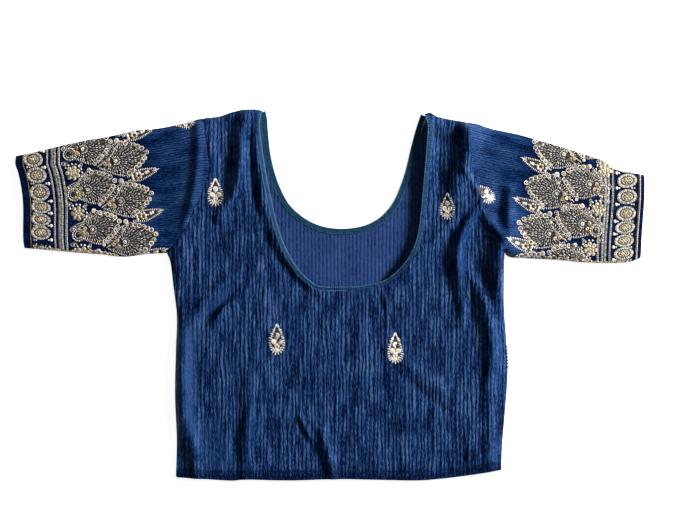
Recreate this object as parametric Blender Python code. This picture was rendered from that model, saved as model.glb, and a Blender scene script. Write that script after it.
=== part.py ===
"""Choli blouse of crinkled stretch cloth, laid flat on a surface with its front up.

The tables are in millimetres and MM turns them into metres. X runs across the blouse, Y from the
hem to the shoulders, and Z up from the surface that the back and the sleeves' undersides lie on.
"""

import math
from collections import namedtuple

import bpy
import numpy as np
from mathutils.geometry import delaunay_2d_cdt

MM = 0.001

# Driving dimensions of the cloth and of how it lies
WALL = 1.5
SEAM_GAP = 0.3
BACK_TOP = WALL
FRONT_BASE = BACK_TOP + SEAM_GAP
LOFT = 2.6
EDGE_ROLL = 11.0
HEM_LOFT_SHARE = 0.5
HEM_LOFT_REACH = 45.0
LEAST_LIFT = 0.8
CURVE_STEP = 9.0
NECK_STEP = 8.0

# Crinkle ribs: one crest and one valley for each, over a plain inside
BODY_RIB_PITCH = 4.4
BODY_RIB_HEIGHT = 0.7
RIB_ROW_STEP = 34.0
RIB_SWAY = 0.8
RIB_SWAY_LENGTH = 130.0
RIB_END_INSET = 4.0
BACK_RIB_HEIGHT = 0.5
SLEEVE_RIBS = 33
SLEEVE_RIB_HEIGHT = 0.5

# The stretch of the back's inner side that shows through the neck has its ribs
BACK_RIBS_X = (-82.0, 104.0)
BACK_RIBS_LOW = -8.0
BACK_RIBS_FADE = 14.0

# The turned-up hems: a raised band that ends at its line of stitches
BODY_HEM_DEPTH = 9.5
HEM_RELIEF = 0.5

# Neck binding
BACK_BINDING_WIDTH = 7.0
BINDING_CROWN = 0.4
BINDING_CROWN_RUN_OUT = 12.0

# The body's outline, hem and sides first, going round anticlockwise as seen from above
HEM_LINE = (
    (-169, -200), (-137, -202), (-108, -203.7), (-92, -202.5), (-44, -203.5), (11, -202),
    (90, -203.5), (117, -202), (143, -199), (169, -195), (183, -192.5), (188, -193),
)
SIDE_RIGHT = (
    (188, -193), (189, -164), (192, -129), (195, -85), (193.5, -50), (191, -14), (191, 17), (191.5, 47),
)
ARMHOLE_RIGHT = (
    (191.5, 47), (179, 70), (169.5, 92), (159.5, 128), (156, 152), (152, 176), (148.5, 190),
)
SHOULDER_RIGHT = ((148.5, 190), (130, 193), (117, 196))
SHOULDER_LEFT = ((-96, 203.5), (-110, 200), (-121, 196), (-139, 194))
ARMHOLE_LEFT = (
    (-139, 194), (-136, 176), (-133, 152), (-132, 140), (-134.5, 127.5), (-142, 108), (-149.5, 93.5),
    (-154.5, 80), (-169, 58), (-179, 46),
)
SIDE_LEFT = (
    (-179, 46), (-175, 36), (-172, 12), (-168, -23), (-169, -60), (-170, -111), (-168, -160), (-169, -200),
)

# The free edges of the two necklines, right shoulder to left shoulder
FRONT_NECK = (
    (103.5, 198.5), (106, 190), (107, 180), (103.5, 136), (99, 86), (93.5, 57), (81.5, 35), (61.5, 17),
    (36, 10), (11, 9), (-11, 9.5), (-22, 16), (-34, 27.5), (-44.5, 44), (-52, 60), (-59, 82),
    (-64, 104), (-70, 134), (-75.5, 170), (-77, 190), (-74, 202),
)
BACK_NECK = (
    (100, 198.5), (97, 190), (93.5, 179), (89, 162), (81.5, 132), (71, 105), (59, 89), (46, 79.8),
    (31, 74.8), (13, 73), (-5, 74.8), (-21, 80.5), (-35, 90), (-47, 103), (-58, 126.5), (-65, 153),
    (-68, 179), (-69, 193), (-71, 202),
)
# The front binding narrows towards the middle of the neck
FrontBindingWidth = namedtuple("FrontBindingWidth", "share_along width")
FRONT_BINDING_WIDTHS = (
    FrontBindingWidth(0.0, 6.6),
    FrontBindingWidth(0.25, 6.2),
    FrontBindingWidth(0.5, 4.6),
    FrontBindingWidth(1.0, 5.4),
)

# Each sleeve: its folded top edge and its seam below run from the armhole to the cuff
SLEEVE_TOP_LEFT = (
    (-139, 194), (-147, 193), (-160.5, 189), (-187, 183.5), (-213, 181), (-240, 175), (-266, 170.5),
    (-292.5, 165), (-319, 158.5), (-344.8, 153),
)
SLEEVE_SEAM_LEFT = (
    (-179, 46), (-200, 45), (-226.5, 42), (-253, 44.5), (-279.5, 46.5), (-306, 49), (-335.5, 51.5),
)
CUFF_LEFT = (
    (-335.5, 51.5), (-336.5, 65), (-336.5, 98), (-338.5, 118), (-342, 135), (-345, 144), (-344.8, 153),
)
SLEEVE_TOP_RIGHT = (
    (148.5, 190), (162, 188), (170, 185), (183, 181.5), (209, 176), (235, 168.5), (262, 160.5),
    (288, 152), (302, 147), (312.5, 138.5), (328, 135.5), (345, 132),
)
SLEEVE_SEAM_RIGHT = (
    (191.5, 47), (198, 41.5), (222, 40), (249, 38.5), (275, 36), (301.5, 35), (328, 36), (341, 40.5),
)
CUFF_RIGHT = ((341, 40.5), (342, 65), (344.5, 100), (345, 115), (345, 132))

# A row for each ring of points round a sleeve, from the armhole (0) to the cuff (1): how far the
# embroidered bands stand out, and how much of the ribs' height is left. Rings without ribs are coarser.
SleeveRing = namedtuple("SleeveRing", "share relief rib_share")
SLEEVE_RINGS = (
    SleeveRing(0.000, 0.0, 1.0),
    SleeveRing(0.035, 0.0, 1.0),
    SleeveRing(0.080, 0.0, 1.0),
    SleeveRing(0.118, 0.0, 1.0),
    SleeveRing(0.160, 0.0, 1.0),
    SleeveRing(0.205, 0.0, 1.0),
    SleeveRing(0.300, 0.0, 0.8),
    SleeveRing(0.420, 0.4, 0.0),
    SleeveRing(0.570, 0.5, 0.0),
    SleeveRing(0.730, 0.4, 0.0),
    SleeveRing(0.742, 0.9, 0.0),
    SleeveRing(0.825, 0.9, 0.0),
    SleeveRing(0.837, 0.3, 0.0),
    SleeveRing(0.850, 0.8, 0.0),
    SleeveRing(0.945, 0.8, 0.0),
    SleeveRing(0.960, 0.1, 0.0),
    SleeveRing(1.000, 0.1, 0.0),
)
INNER_RING_SHARES = (0.0, 0.035, 0.08, 0.118, 0.16, 0.205, 0.3, 0.57, 1.0)
SLEEVE_UNDER_STEPS = 18
POINTS_PER_COARSE_STEP = 3

# A row for each fold of the upper cloth: a soft ridge, or a trough where its height is below 0
Fold = namedtuple("Fold", "name path half_width height")
FOLDS = (
    Fold("left side ridge", ((-162, -30), (-163, -120), (-160, -160)), 12, 4.6),
    Fold("left hem corner", ((-152, -140), (-149, -175), (-147, -210)), 7, 3.2),
    Fold("left underarm ridge", ((-165, 60), (-164, 22)), 8, 2.0),
    Fold("left waist upper bank", ((-102, 27), (-118, 12), (-134, -4), (-148, -19)), 5.5, 3.6),
    Fold("left waist crease", ((-91, 20), (-105, 7), (-120, -8), (-137, -26)), 4.5, -2.6),
    Fold("left waist lower bank", ((-85, 13), (-108, -11), (-129, -35)), 6, 2.0),
    Fold("left neck ridge", ((-81, 210), (-81, 165), (-76, 125), (-71, 95)), 6.5, 4.2),
    Fold("left neck bend", ((-71, 98), (-63, 72), (-52, 48), (-36, 26), (-22, 12)), 6, 3.0),
    Fold("left neck trough", ((-91, 180), (-86, 121), (-79, 90)), 5.5, -2.2),
    Fold("left neck lower trough", ((-72, 66), (-56, 38), (-30, 8), (-4, -14)), 5, -1.9),
    Fold("left lower swell", ((-92, -45), (-90, -105), (-94, -150)), 20, 2.6),
    Fold("left hem trough", ((-101, -85), (-103, -145), (-108, -205)), 6, -1.6),
    Fold("left hem ridge", ((-88, -85), (-89, -145), (-93, -205)), 6, 1.9),
    Fold("centre hem ridge", ((-10, -148), (-2, -173), (5, -205)), 6, 3.2),
    Fold("right waist ridge", ((84, -76), (106, -92), (132, -112)), 8, 3.2),
    Fold("right waist trough", ((77, -87), (99, -106), (121, -123), (138, -138)), 4, -1.5),
    Fold("right armhole ridge", ((151, 214), (152, 165), (150, 145), (144, 130), (137, 108)), 11, 10.5),
    Fold("right neck ridge", ((106, 212), (105, 163), (103, 135)), 12, 6.4),
    Fold("right neck bend", ((102, 135), (100, 108), (97, 82)), 11, 4.2),
    Fold("right neck corner", ((98, 74), (90, 46), (72, 22)), 9, 3.6),
    Fold("right bust diagonal", ((166, 112), (145, 93), (123, 68), (101, 45), (82, 24)), 6.5, 4.4),
    Fold(
        "right bust ridge",
        ((176, 113), (160, 92), (149, 77), (143, 62), (140, 42), (143, 15), (146, -30)), 6, 6.4,
    ),
    Fold("right underarm hump", ((190, 70), (189, 32), (186, -12)), 14, 11.5),
    Fold("right side ridge", ((151, 30), (161, 10), (170, -12), (176, -40), (177, -72), (172, -112)), 7, 7.0),
    Fold("right hem ridge", ((176, -128), (177, -200)), 9, 4.6),
    Fold("left strap ridge", ((-89, 212), (-96, 180), (-98, 145), (-103, 115), (-121, 86)), 7.5, 8.8),
    Fold("left armhole ridge", ((-134, 190), (-130, 143), (-138, 110)), 8, 3.0),
    Fold("left sleeve head", ((-145, 200), (-144, 148), (-148, 118), (-152, 100), (-159, 76)), 5.5, 5.0),
    Fold("left sleeve swell", ((-152, 200), (-152, 130), (-166, 62)), 22, 3.6),
    Fold("right sleeve trough", ((186, 118), (186, 88), (189, 62)), 6, -2.0),
    Fold("right sleeve ridge", ((197, 114), (196, 88), (199, 64)), 6, 5.0),
)
DIAGONAL_SLOPE = 0.3

# Colours, roughness and sheen
NAVY = (0.014, 0.045, 0.145, 1.0)
INNER_NAVY = (0.026, 0.055, 0.19, 1.0)
TEAL = (0.014, 0.105, 0.19, 1.0)
CLOTH_ROUGHNESS = 0.55


def smooth_line(points, step=CURVE_STEP):
    """Points about one step apart along a Catmull-Rom curve through the given ones."""
    given = np.array(points, float)
    last = len(given) - 1
    dense = []
    for i in range(last):
        before, start, end, after = given[max(i - 1, 0)], given[i], given[i + 1], given[min(i + 2, last)]
        for t in np.linspace(0, 1, 10, endpoint=False):
            dense.append(
                0.5 * (2 * start + (end - before) * t + (2 * before - 5 * start + 4 * end - after) * t**2
                       + (3 * start - before - 3 * end + after) * t**3)
            )
    dense = np.array(dense + [given[last]])
    return resampled(dense, max(2, round(run_of(dense)[-1] / step) + 1))


def run_of(line):
    """Distance along a line at each of its points."""
    return np.concatenate([[0], np.cumsum(np.linalg.norm(np.diff(line, axis=0), axis=1))])


def resampled(line, count):
    run = run_of(line)
    at = np.linspace(0, run[-1], count)
    return np.column_stack([np.interp(at, run, line[:, k]) for k in (0, 1)])


def left_normals(line):
    along = np.gradient(line, axis=0)
    along /= np.linalg.norm(along, axis=1, keepdims=True)
    return np.column_stack([-along[:, 1], along[:, 0]])


def offset(line, distance):
    """The line moved to its left by a distance, or by one distance for each point."""
    return line + left_normals(line) * np.reshape(distance, (-1, 1))


def smooth_step(value):
    t = np.clip(value, 0, 1)
    return t * t * (3 - 2 * t)


def distance_to(line, x, y):
    """Shortest distance from each point to a line, and how far along it that is, from 0 to 1."""
    best = np.full(np.shape(x), np.inf)
    share = np.zeros(np.shape(x))
    run = run_of(line)
    for k in range(len(line) - 1):
        start, step = line[k], line[k + 1] - line[k]
        t = np.clip(((x - start[0]) * step[0] + (y - start[1]) * step[1]) / (step @ step), 0, 1)
        away = np.hypot(x - start[0] - t * step[0], y - start[1] - t * step[1])
        nearer = away < best
        best = np.where(nearer, away, best)
        share = np.where(nearer, (run[k] + t * (run[k + 1] - run[k])) / run[-1], share)
    return best, share


# The curves that the pieces share
ARMHOLES = {"left": smooth_line(ARMHOLE_LEFT), "right": smooth_line(ARMHOLE_RIGHT)}
SEWN_EDGES = [
    smooth_line(line)
    for line in (
        SIDE_LEFT, SIDE_RIGHT, SLEEVE_TOP_LEFT, SLEEVE_SEAM_LEFT, SLEEVE_TOP_RIGHT, SLEEVE_SEAM_RIGHT,
        ((-70, 204.6),) + SHOULDER_LEFT, SHOULDER_RIGHT + ((102, 199.5),),
    )
]
FOLD_LINES = [smooth_line(fold.path) for fold in FOLDS]
HEM_CURVE = smooth_line(HEM_LINE)
FRONT_NECK_EDGE, BACK_NECK_EDGE = smooth_line(FRONT_NECK, NECK_STEP), smooth_line(BACK_NECK, NECK_STEP)
FRONT_WIDTHS = np.interp(run_of(FRONT_NECK_EDGE) / run_of(FRONT_NECK_EDGE)[-1], *zip(*FRONT_BINDING_WIDTHS))
BACK_WIDTHS = np.full(len(BACK_NECK_EDGE), BACK_BINDING_WIDTH)
FRONT_NECK_SEAM = offset(FRONT_NECK_EDGE, FRONT_WIDTHS + SEAM_GAP)
BACK_NECK_SEAM = offset(BACK_NECK_EDGE, BACK_WIDTHS + SEAM_GAP)


def lift(x, y):
    """How far the upper cloth stands off the lower one: rolled edges, its loft and its folds."""
    edge = np.min([distance_to(line, x, y)[0] for line in SEWN_EDGES], axis=0)
    roll = np.sqrt(1 - (1 - np.clip(edge / EDGE_ROLL, 0, 1)) ** 2)
    above_hem = smooth_step((y - HEM_CURVE[:, 1].min()) / HEM_LOFT_REACH)
    hem_share = HEM_LOFT_SHARE + (1 - HEM_LOFT_SHARE) * above_hem
    height = LOFT * hem_share * roll
    for fold, line in zip(FOLDS, FOLD_LINES):
        away, share = distance_to(line, x, y)
        tapered = np.sin(math.pi * np.clip(0.12 + 0.76 * share, 0, 1)) ** 0.6
        height = height + fold.height * np.exp(-((away / fold.half_width) ** 2)) * tapered * roll
    least = LEAST_LIFT * roll
    return 0.5 * (height + least + np.sqrt((height - least) ** 2 + (0.8 * roll) ** 2))


def rib_sway(x, y):
    return RIB_SWAY * np.sin(2 * math.pi * (y / RIB_SWAY_LENGTH + x / 170))


def rib_wave(x, y):
    """0 in a valley between two ribs and 1 on a crest."""
    straight = x
    for _ in range(3):
        straight = x - rib_sway(straight, y)
    phase = straight / BODY_RIB_PITCH
    return 1 - np.abs(2 * (phase - np.floor(phase)) - 1)


def hem_relief(x, y):
    """The hem's doubled cloth, which ends at its line of stitches."""
    away, _ = distance_to(HEM_CURVE, x, y)
    return HEM_RELIEF * smooth_step((BODY_HEM_DEPTH + 1 - away) / 2)


def rib_room(outline, x, y):
    """Distance to the outline, or to the hem's line of stitches where that is nearer."""
    edge, _ = distance_to(np.vstack([outline, outline[:1]]), x, y)
    hem, _ = distance_to(HEM_CURVE, x, y)
    return np.clip(np.minimum(edge, hem - BODY_HEM_DEPTH), 0, None)


def upright_wall(x, y):
    """Height of the wall above its inner side, so that it's as thick on a slope as on the flat."""
    step = 0.5
    here = lift(x, y)
    slope = np.hypot(lift(x + step, y) - here, lift(x, y + step) - here) / step
    return WALL * np.sqrt(1 + np.clip(slope, 0, 1.2) ** 2)


def front_outer(x, y):
    ribs = BODY_RIB_HEIGHT * rib_wave(x, y) * smooth_step(rib_room(FRONT_OUTLINE, x, y) / RIB_END_INSET)
    return front_inner(x, y) + upright_wall(x, y) + ribs + hem_relief(x, y)


def front_inner(x, y):
    return FRONT_BASE + lift(x, y)


def back_upper(x, y):
    inside_x = np.minimum(x - BACK_RIBS_X[0], BACK_RIBS_X[1] - x)
    shown = smooth_step(inside_x / BACK_RIBS_FADE) * smooth_step((y - BACK_RIBS_LOW) / BACK_RIBS_FADE)
    shown = shown * smooth_step(rib_room(BACK_OUTLINE, x, y) / RIB_END_INSET)
    return BACK_TOP + BACK_RIB_HEIGHT * rib_wave(x, y) * shown


def back_under(x, y):
    return np.zeros(np.shape(x))


def is_inside(outline, x, y):
    """Whether each point lies inside a closed outline."""
    inside = np.zeros(np.shape(x), bool)
    for a, b in zip(outline, np.roll(outline, -1, axis=0)):
        if a[1] != b[1]:
            crosses = (a[1] > y) != (b[1] > y)
            inside ^= crosses & (x < a[0] + (y - a[1]) * (b[0] - a[0]) / (b[1] - a[1]))
    return inside


def rib_lines(outline, low_x, high_x, low_y, high_y):
    """A line for each crest and valley that ends just inside the outline."""
    half_pitch = BODY_RIB_PITCH / 2
    lines = []
    for k in range(math.ceil(low_x / half_pitch), math.floor(high_x / half_pitch) + 1):
        y = np.arange(low_y, high_y, 1.0)
        x = k * half_pitch + rib_sway(k * half_pitch, y)
        clear = is_inside(outline, x, y) & (rib_room(outline, x, y) > RIB_END_INSET)
        starts = np.flatnonzero(clear & ~np.roll(clear, 1))
        ends = np.flatnonzero(clear & ~np.roll(clear, -1))
        for first, last in zip(starts, ends):
            if y[last] - y[first] > 2 * RIB_END_INSET:
                rows = np.linspace(y[first], y[last], 1 + math.ceil((y[last] - y[first]) / RIB_ROW_STEP))
                lines.append(np.column_stack([k * half_pitch + rib_sway(k * half_pitch, rows), rows]))
    return lines


def diagonal_fold_lines():
    """Crest and feet of each fold that crosses the ribs, so that the faces follow it."""
    lines = []
    for fold, line in zip(FOLDS, FOLD_LINES):
        across, up = np.abs(line[-1] - line[0])
        if across > DIAGONAL_SLOPE * up:
            lines += [offset(line, k * fold.half_width) for k in (-1, 0, 1)]
    return lines


def hem_band_lines():
    """Both edges of the step where the hem's doubled cloth ends, clear of the side seams."""
    return [offset(HEM_CURVE, BODY_HEM_DEPTH + k)[2:-2] for k in (-1, 1)]


def panel_outline(neck_seam):
    """Anticlockwise outline of a body panel, with half the seam's gap left at each armhole."""
    half_gap = SEAM_GAP / 2
    sides = [
        HEM_CURVE,
        smooth_line(SIDE_RIGHT)[1:-1],
        offset(ARMHOLES["right"], half_gap),
        smooth_line(SHOULDER_RIGHT)[1:],
        neck_seam,
        smooth_line(SHOULDER_LEFT)[:-1],
        offset(ARMHOLES["left"], half_gap),
        smooth_line(SIDE_LEFT)[1:-1],
    ]
    return np.concatenate(sides)


FRONT_OUTLINE, BACK_OUTLINE = panel_outline(FRONT_NECK_SEAM), panel_outline(BACK_NECK_SEAM)


def triangulated(outline, lines=(), points=()):
    """Plan triangulation inside the outline, with the lines as edges. Returns points and triangles."""
    coords = [tuple(p) for p in outline]
    edges = []
    for line in lines:
        first = len(coords)
        coords += [tuple(p) for p in line]
        edges += [(first + k, first + k + 1) for k in range(len(line) - 1)]
    coords += [tuple(p) for p in points]
    found = delaunay_2d_cdt(coords, edges, [list(range(len(outline)))], 1, 1e-4)
    return np.array([tuple(p) for p in found[0]]), [tuple(face) for face in found[2]]


def boundary_loop(triangles):
    """The outline's points in order, from the edges that only one triangle has."""
    directed = {(face[k], face[(k + 1) % 3]) for face in triangles for k in range(3)}
    following = {a: b for a, b in directed if (b, a) not in directed}
    loop = [min(following)]
    while following[loop[-1]] != loop[0]:
        loop.append(following[loop[-1]])
    return loop


def inside_only(outline, points, triangles):
    """Leaves out triangles whose middle lies outside the outline."""
    middles = points[np.array(triangles)].mean(axis=1)
    return [face for face, keep in zip(triangles, is_inside(outline, *middles.T)) if keep]


def wall_between(name, outline, lines, upper, lower):
    """A cloth wall over the outline. Its upper side follows the lines and its lower side is plainer."""
    points, triangles = triangulated(outline, lines)
    triangles = inside_only(outline, points, triangles)
    loop = boundary_loop(triangles)
    rim = points[loop]
    inner = points[sorted({k for face in triangles for k in face} - set(loop))]
    valleys = inner[rib_wave(*inner.T) < 0.3]
    plain_points, plain_triangles = triangulated(rim, (), valleys)
    plain_triangles = inside_only(rim, plain_points, plain_triangles)
    vertices = [(x, y, z) for (x, y), z in zip(points, upper(*points.T))]
    first_below = len(vertices)
    vertices += [(x, y, z) for (x, y), z in zip(plain_points, lower(*plain_points.T))]
    faces = list(triangles) + [tuple(first_below + k for k in reversed(face)) for face in plain_triangles]
    for k in range(len(loop)):
        n = (k + 1) % len(loop)
        faces.append((loop[n], loop[k], first_below + k, first_below + n))
    return add_object(name, vertices, faces)


def add_object(name, vertices, faces):
    """An object from points in millimetres, without the points that no face uses."""
    mesh = bpy.data.meshes.new(name)
    used = sorted({k for face in faces for k in face})
    place = {k: n for n, k in enumerate(used)}
    mesh.from_pydata(
        [tuple(c * MM for c in vertices[k]) for k in used], [], [[place[k] for k in face] for face in faces]
    )
    mesh.validate()
    mesh.shade_smooth()
    mesh.set_sharp_from_angle(angle=math.radians(40))
    obj = bpy.data.objects.new(name, mesh)
    bpy.context.scene.collection.objects.link(obj)
    return obj


def cloth_material(name, colour):
    material = bpy.data.materials.new(name)
    material.use_nodes = True
    shader = material.node_tree.nodes["Principled BSDF"]
    shader.inputs["Base Color"].default_value = colour
    shader.inputs["Roughness"].default_value = CLOTH_ROUGHNESS
    shader.inputs["Metallic"].default_value = 0.0
    return material


def coons_patch(armhole, cuff, seam, top):
    """Plan position at any share across (seam 0, fold 1) and along (armhole 0, cuff 1)."""
    def at(line, share):
        run = run_of(line)
        return np.array([np.interp(share * run[-1], run, line[:, k]) for k in (0, 1)])

    def place(across, along):
        corners = (
            (1 - across) * (1 - along) * seam[0] + across * (1 - along) * top[0]
            + (1 - across) * along * seam[-1] + across * along * top[-1]
        )
        return (
            (1 - along) * at(armhole, across) + along * at(cuff, across)
            + (1 - across) * at(seam, along) + across * at(top, along) - corners
        )
    return place


def sleeve(name, side, seam, top, cuff):
    """A flattened tube: upper wall with ribs, flat lower wall, open at the armhole and the cuff."""
    underarm_first = ARMHOLES["left"][::-1] if side == "left" else ARMHOLES["right"]
    away_from_body = SEAM_GAP / 2 if side == "left" else -SEAM_GAP / 2
    armhole = offset(underarm_first, away_from_body)
    seam, top, cuff = smooth_line(seam), smooth_line(top), smooth_line(cuff)
    seam[0], top[0] = armhole[0], armhole[-1]
    place = coons_patch(armhole, cuff, seam, top)
    edge_inset = WALL / np.linalg.norm(cuff[-1] - cuff[0])
    vertices, faces = [], []

    def ring(along, relief, rib_share, inside):
        """Adds the points round the tube at one share along it: up over the top, then back under."""
        steps = 2 * SLEEVE_RIBS if rib_share else 2 * SLEEVE_RIBS // POINTS_PER_COARSE_STEP
        inset = edge_inset if inside else 0.0
        margin = 1.6 * inset + 0.008
        over = np.array([place(share, along) for share in np.linspace(margin, 1 - margin, steps + 1)])
        height = FRONT_BASE + lift(*over.T)
        if not inside:
            step = np.arange(steps + 1)
            spread = smooth_step(np.minimum(step, step[::-1]) / (0.06 * steps))
            height += WALL + (SLEEVE_RIB_HEIGHT * rib_share * (step % 2) + relief) * spread
        under = [place(share, along) for share in np.linspace(1 - margin, margin, SLEEVE_UNDER_STEPS + 1)]
        side_height = FRONT_BASE - SEAM_GAP / 2
        first = len(vertices)
        vertices.extend((x, y, z) for (x, y), z in zip(over, height))
        vertices.append((*place(1 - inset, along), side_height))
        vertices.extend((x, y, WALL if inside else 0.0) for x, y in under)
        vertices.append((*place(inset, along), side_height))
        return steps, list(range(first, len(vertices)))

    def band(ring_a, ring_b):
        """Faces between two rings. A coarser one has one step for several of the other's."""
        (steps_a, row_a), (steps_b, row_b) = ring_a, ring_b
        fewest = min(steps_a, steps_b)
        for k in range(fewest):
            part_a = row_a[k * steps_a // fewest:(k + 1) * steps_a // fewest + 1]
            part_b = row_b[k * steps_b // fewest:(k + 1) * steps_b // fewest + 1]
            faces.append(tuple(part_a + part_b[::-1]))
        rest_a, rest_b = row_a[steps_a:] + row_a[:1], row_b[steps_b:] + row_b[:1]
        for k in range(len(rest_a) - 1):
            faces.append((rest_a[k], rest_a[k + 1], rest_b[k + 1], rest_b[k]))

    outer = [ring(r.share, r.relief, r.rib_share, False) for r in SLEEVE_RINGS]
    inner = [ring(share, 0.0, 0.0, True) for share in INNER_RING_SHARES]
    for a, b in zip(outer, outer[1:]):
        band(a, b)
    for a, b in zip(inner, inner[1:]):
        band(b, a)
    band(inner[0], outer[0])
    band(outer[-1], inner[-1])
    if side == "right":
        faces = [face[::-1] for face in faces]
    return add_object(name, vertices, faces)


def binding(name, free_edge, widths, base):
    """A flat strip of doubled cloth along a neckline, crowned along its middle."""
    run = run_of(free_edge)
    crown = BINDING_CROWN * smooth_step(np.minimum(run, run[-1] - run) / BINDING_CROWN_RUN_OUT)
    middle = offset(free_edge, widths / 2)
    height = base(middle[:, 0], middle[:, 1])
    seam_edge = offset(free_edge, widths)
    low_inset = 0.12
    vertices = []
    for edge, centre, seam, top, z in zip(free_edge, middle, seam_edge, crown, height):
        near_edge = edge + (seam - edge) * low_inset
        near_seam = seam + (edge - seam) * low_inset
        vertices += [
            (*near_edge, z), (*edge, z + 0.4 * WALL), (*near_edge, z + 0.85 * WALL),
            (*centre, z + WALL + top),
            (*near_seam, z + 0.85 * WALL), (*seam, z + 0.4 * WALL), (*near_seam, z),
        ]
    sides = 7
    faces = []
    for r in range(len(free_edge) - 1):
        for k in range(sides):
            n = (k + 1) % sides
            faces.append((r * sides + n, r * sides + k, (r + 1) * sides + k, (r + 1) * sides + n))
    last = (len(free_edge) - 1) * sides
    faces.append(tuple(range(sides)))
    faces.append(tuple(last + k for k in reversed(range(sides))))
    return add_object(name, vertices, faces)


def build():
    for obj in list(bpy.data.objects):
        bpy.data.objects.remove(obj)
    navy = cloth_material("crinkled navy cloth", NAVY)
    inner_navy = cloth_material("inner side of the cloth", INNER_NAVY)
    teal = cloth_material("teal neck binding", TEAL)

    front_lines = rib_lines(FRONT_OUTLINE, -181, 196, -206, 206) + diagonal_fold_lines() + hem_band_lines()
    front = wall_between("front_panel", FRONT_OUTLINE, front_lines, front_outer, front_inner)
    back_lines = rib_lines(BACK_OUTLINE, *BACK_RIBS_X, BACK_RIBS_LOW, 170)
    back = wall_between("back_panel", BACK_OUTLINE, back_lines, back_upper, back_under)
    pieces = (
        (front, navy),
        (back, inner_navy),
        (sleeve("sleeve_left", "left", SLEEVE_SEAM_LEFT, SLEEVE_TOP_LEFT, CUFF_LEFT), navy),
        (sleeve("sleeve_right", "right", SLEEVE_SEAM_RIGHT, SLEEVE_TOP_RIGHT, CUFF_RIGHT), navy),
        (binding("neck_binding_front", FRONT_NECK_EDGE, FRONT_WIDTHS, front_inner), teal),
        (binding("neck_binding_back", BACK_NECK_EDGE, BACK_WIDTHS, back_under), teal),
    )
    for obj, material in pieces:
        obj.data.materials.append(material)


build()
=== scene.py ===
"""A navy choli blouse of crinkled stretch cloth, laid flat with its front up, seen from straight above.

The tables are in millimetres and MM turns them into metres. X runs across the blouse, Y from the
hem to the shoulders, and Z up from the surface that the blouse lies on.
"""

import math
from collections import namedtuple

import bpy
import numpy as np
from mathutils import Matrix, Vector


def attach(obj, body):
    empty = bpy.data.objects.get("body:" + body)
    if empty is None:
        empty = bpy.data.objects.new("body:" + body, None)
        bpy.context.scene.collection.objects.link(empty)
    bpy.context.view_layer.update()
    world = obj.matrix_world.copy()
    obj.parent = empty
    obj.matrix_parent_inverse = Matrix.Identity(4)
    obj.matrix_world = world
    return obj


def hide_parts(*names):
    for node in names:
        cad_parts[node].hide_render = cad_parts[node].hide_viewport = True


MM = 0.001

# Cloth thickness and how the layers lie
SOLID_WALL = 1.5
SEAM_GAP = 0.3
FRONT_BASE = SOLID_WALL + SEAM_GAP
CLOTH = 1.2
LOFT = 2.6
EDGE_ROLL = 11.0
HEM_LOFT_SHARE = 0.5
HEM_LOFT_REACH = 45.0
LEAST_LIFT = 0.8
FOLD_END = 0.12
CURVE_STEP = 3.0
REST_HEIGHT = 0.3

# Crinkle
FRONT_PITCH = 4.3
FRONT_CRINKLE = 0.95
BACK_PITCH = 4.1
BACK_CRINKLE = 0.45
SLEEVE_RIBS = 56
SLEEVE_CRINKLE = 0.42
SLEEVE_LENGTH = 200
SLEEVE_WIDTH = 150
HEM_DEPTH = 9.5
HEM_RISE = 0.4
HEM_EDGE_FALL = 1.3
STITCH_HALF_WIDTH = 1.1
STITCH_PULL = 1.1
# The grid of the body: its reach, its step across the ribs, and where the neckline shows the back
BODY_SPAN_X = (-181, 197)
BODY_SPAN_Y = (-206, 206)
RIB_STEP = 0.82
BACK_WINDOW_X = (-84, 108)
BACK_WINDOW_LOW = -12

# Outlines, anticlockwise as seen from above
HEM_LINE = (
    (-169, -200), (-137, -202), (-108, -203.7), (-92, -202.5), (-44, -203.5), (11, -202),
    (90, -203.5), (117, -202), (143, -199), (169, -195), (183, -192.5), (188, -193),
)
SIDE_RIGHT = (
    (188, -193), (189, -164), (192, -129), (195, -85), (193.5, -50), (191, -14), (191, 17), (191.5, 47),
)
ARMHOLE_RIGHT = (
    (191.5, 47), (179, 70), (169.5, 92), (159.5, 128), (156, 152), (152, 176), (148.5, 190),
)
SHOULDER_RIGHT = ((148.5, 190), (130, 193), (117, 196))
SHOULDER_LEFT = ((-96, 203.5), (-110, 200), (-121, 196), (-139, 194))
ARMHOLE_LEFT = (
    (-139, 194), (-136, 176), (-133, 152), (-132, 140), (-134.5, 127.5), (-142, 108), (-149.5, 93.5),
    (-154.5, 80), (-169, 58), (-179, 46),
)
SIDE_LEFT = (
    (-179, 46), (-175, 36), (-172, 12), (-168, -23), (-169, -60), (-170, -111), (-168, -160), (-169, -200),
)
FRONT_NECK = (
    (103.5, 198.5), (106, 190), (107, 180), (103.5, 136), (99, 86), (93.5, 57), (81.5, 35), (61.5, 17),
    (36, 10), (11, 9), (-11, 9.5), (-22, 16), (-34, 27.5), (-44.5, 44), (-52, 60), (-59, 82),
    (-64, 104), (-70, 134), (-75.5, 170), (-77, 190), (-74, 202),
)
BACK_NECK = (
    (100, 198.5), (97, 190), (93.5, 179), (89, 162), (81.5, 132), (71, 105), (59, 89), (46, 79.8),
    (31, 74.8), (13, 73), (-5, 74.8), (-21, 80.5), (-35, 90), (-47, 103), (-58, 126.5), (-65, 153),
    (-68, 179), (-69, 193), (-71, 202),
)
FrontBindingWidth = namedtuple("FrontBindingWidth", "share_along width")
FRONT_BINDING_WIDTHS = (
    FrontBindingWidth(0.0, 6.6),
    FrontBindingWidth(0.25, 6.2),
    FrontBindingWidth(0.5, 4.6),
    FrontBindingWidth(1.0, 5.4),
)
BACK_BINDING_WIDTH = 7.0

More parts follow.
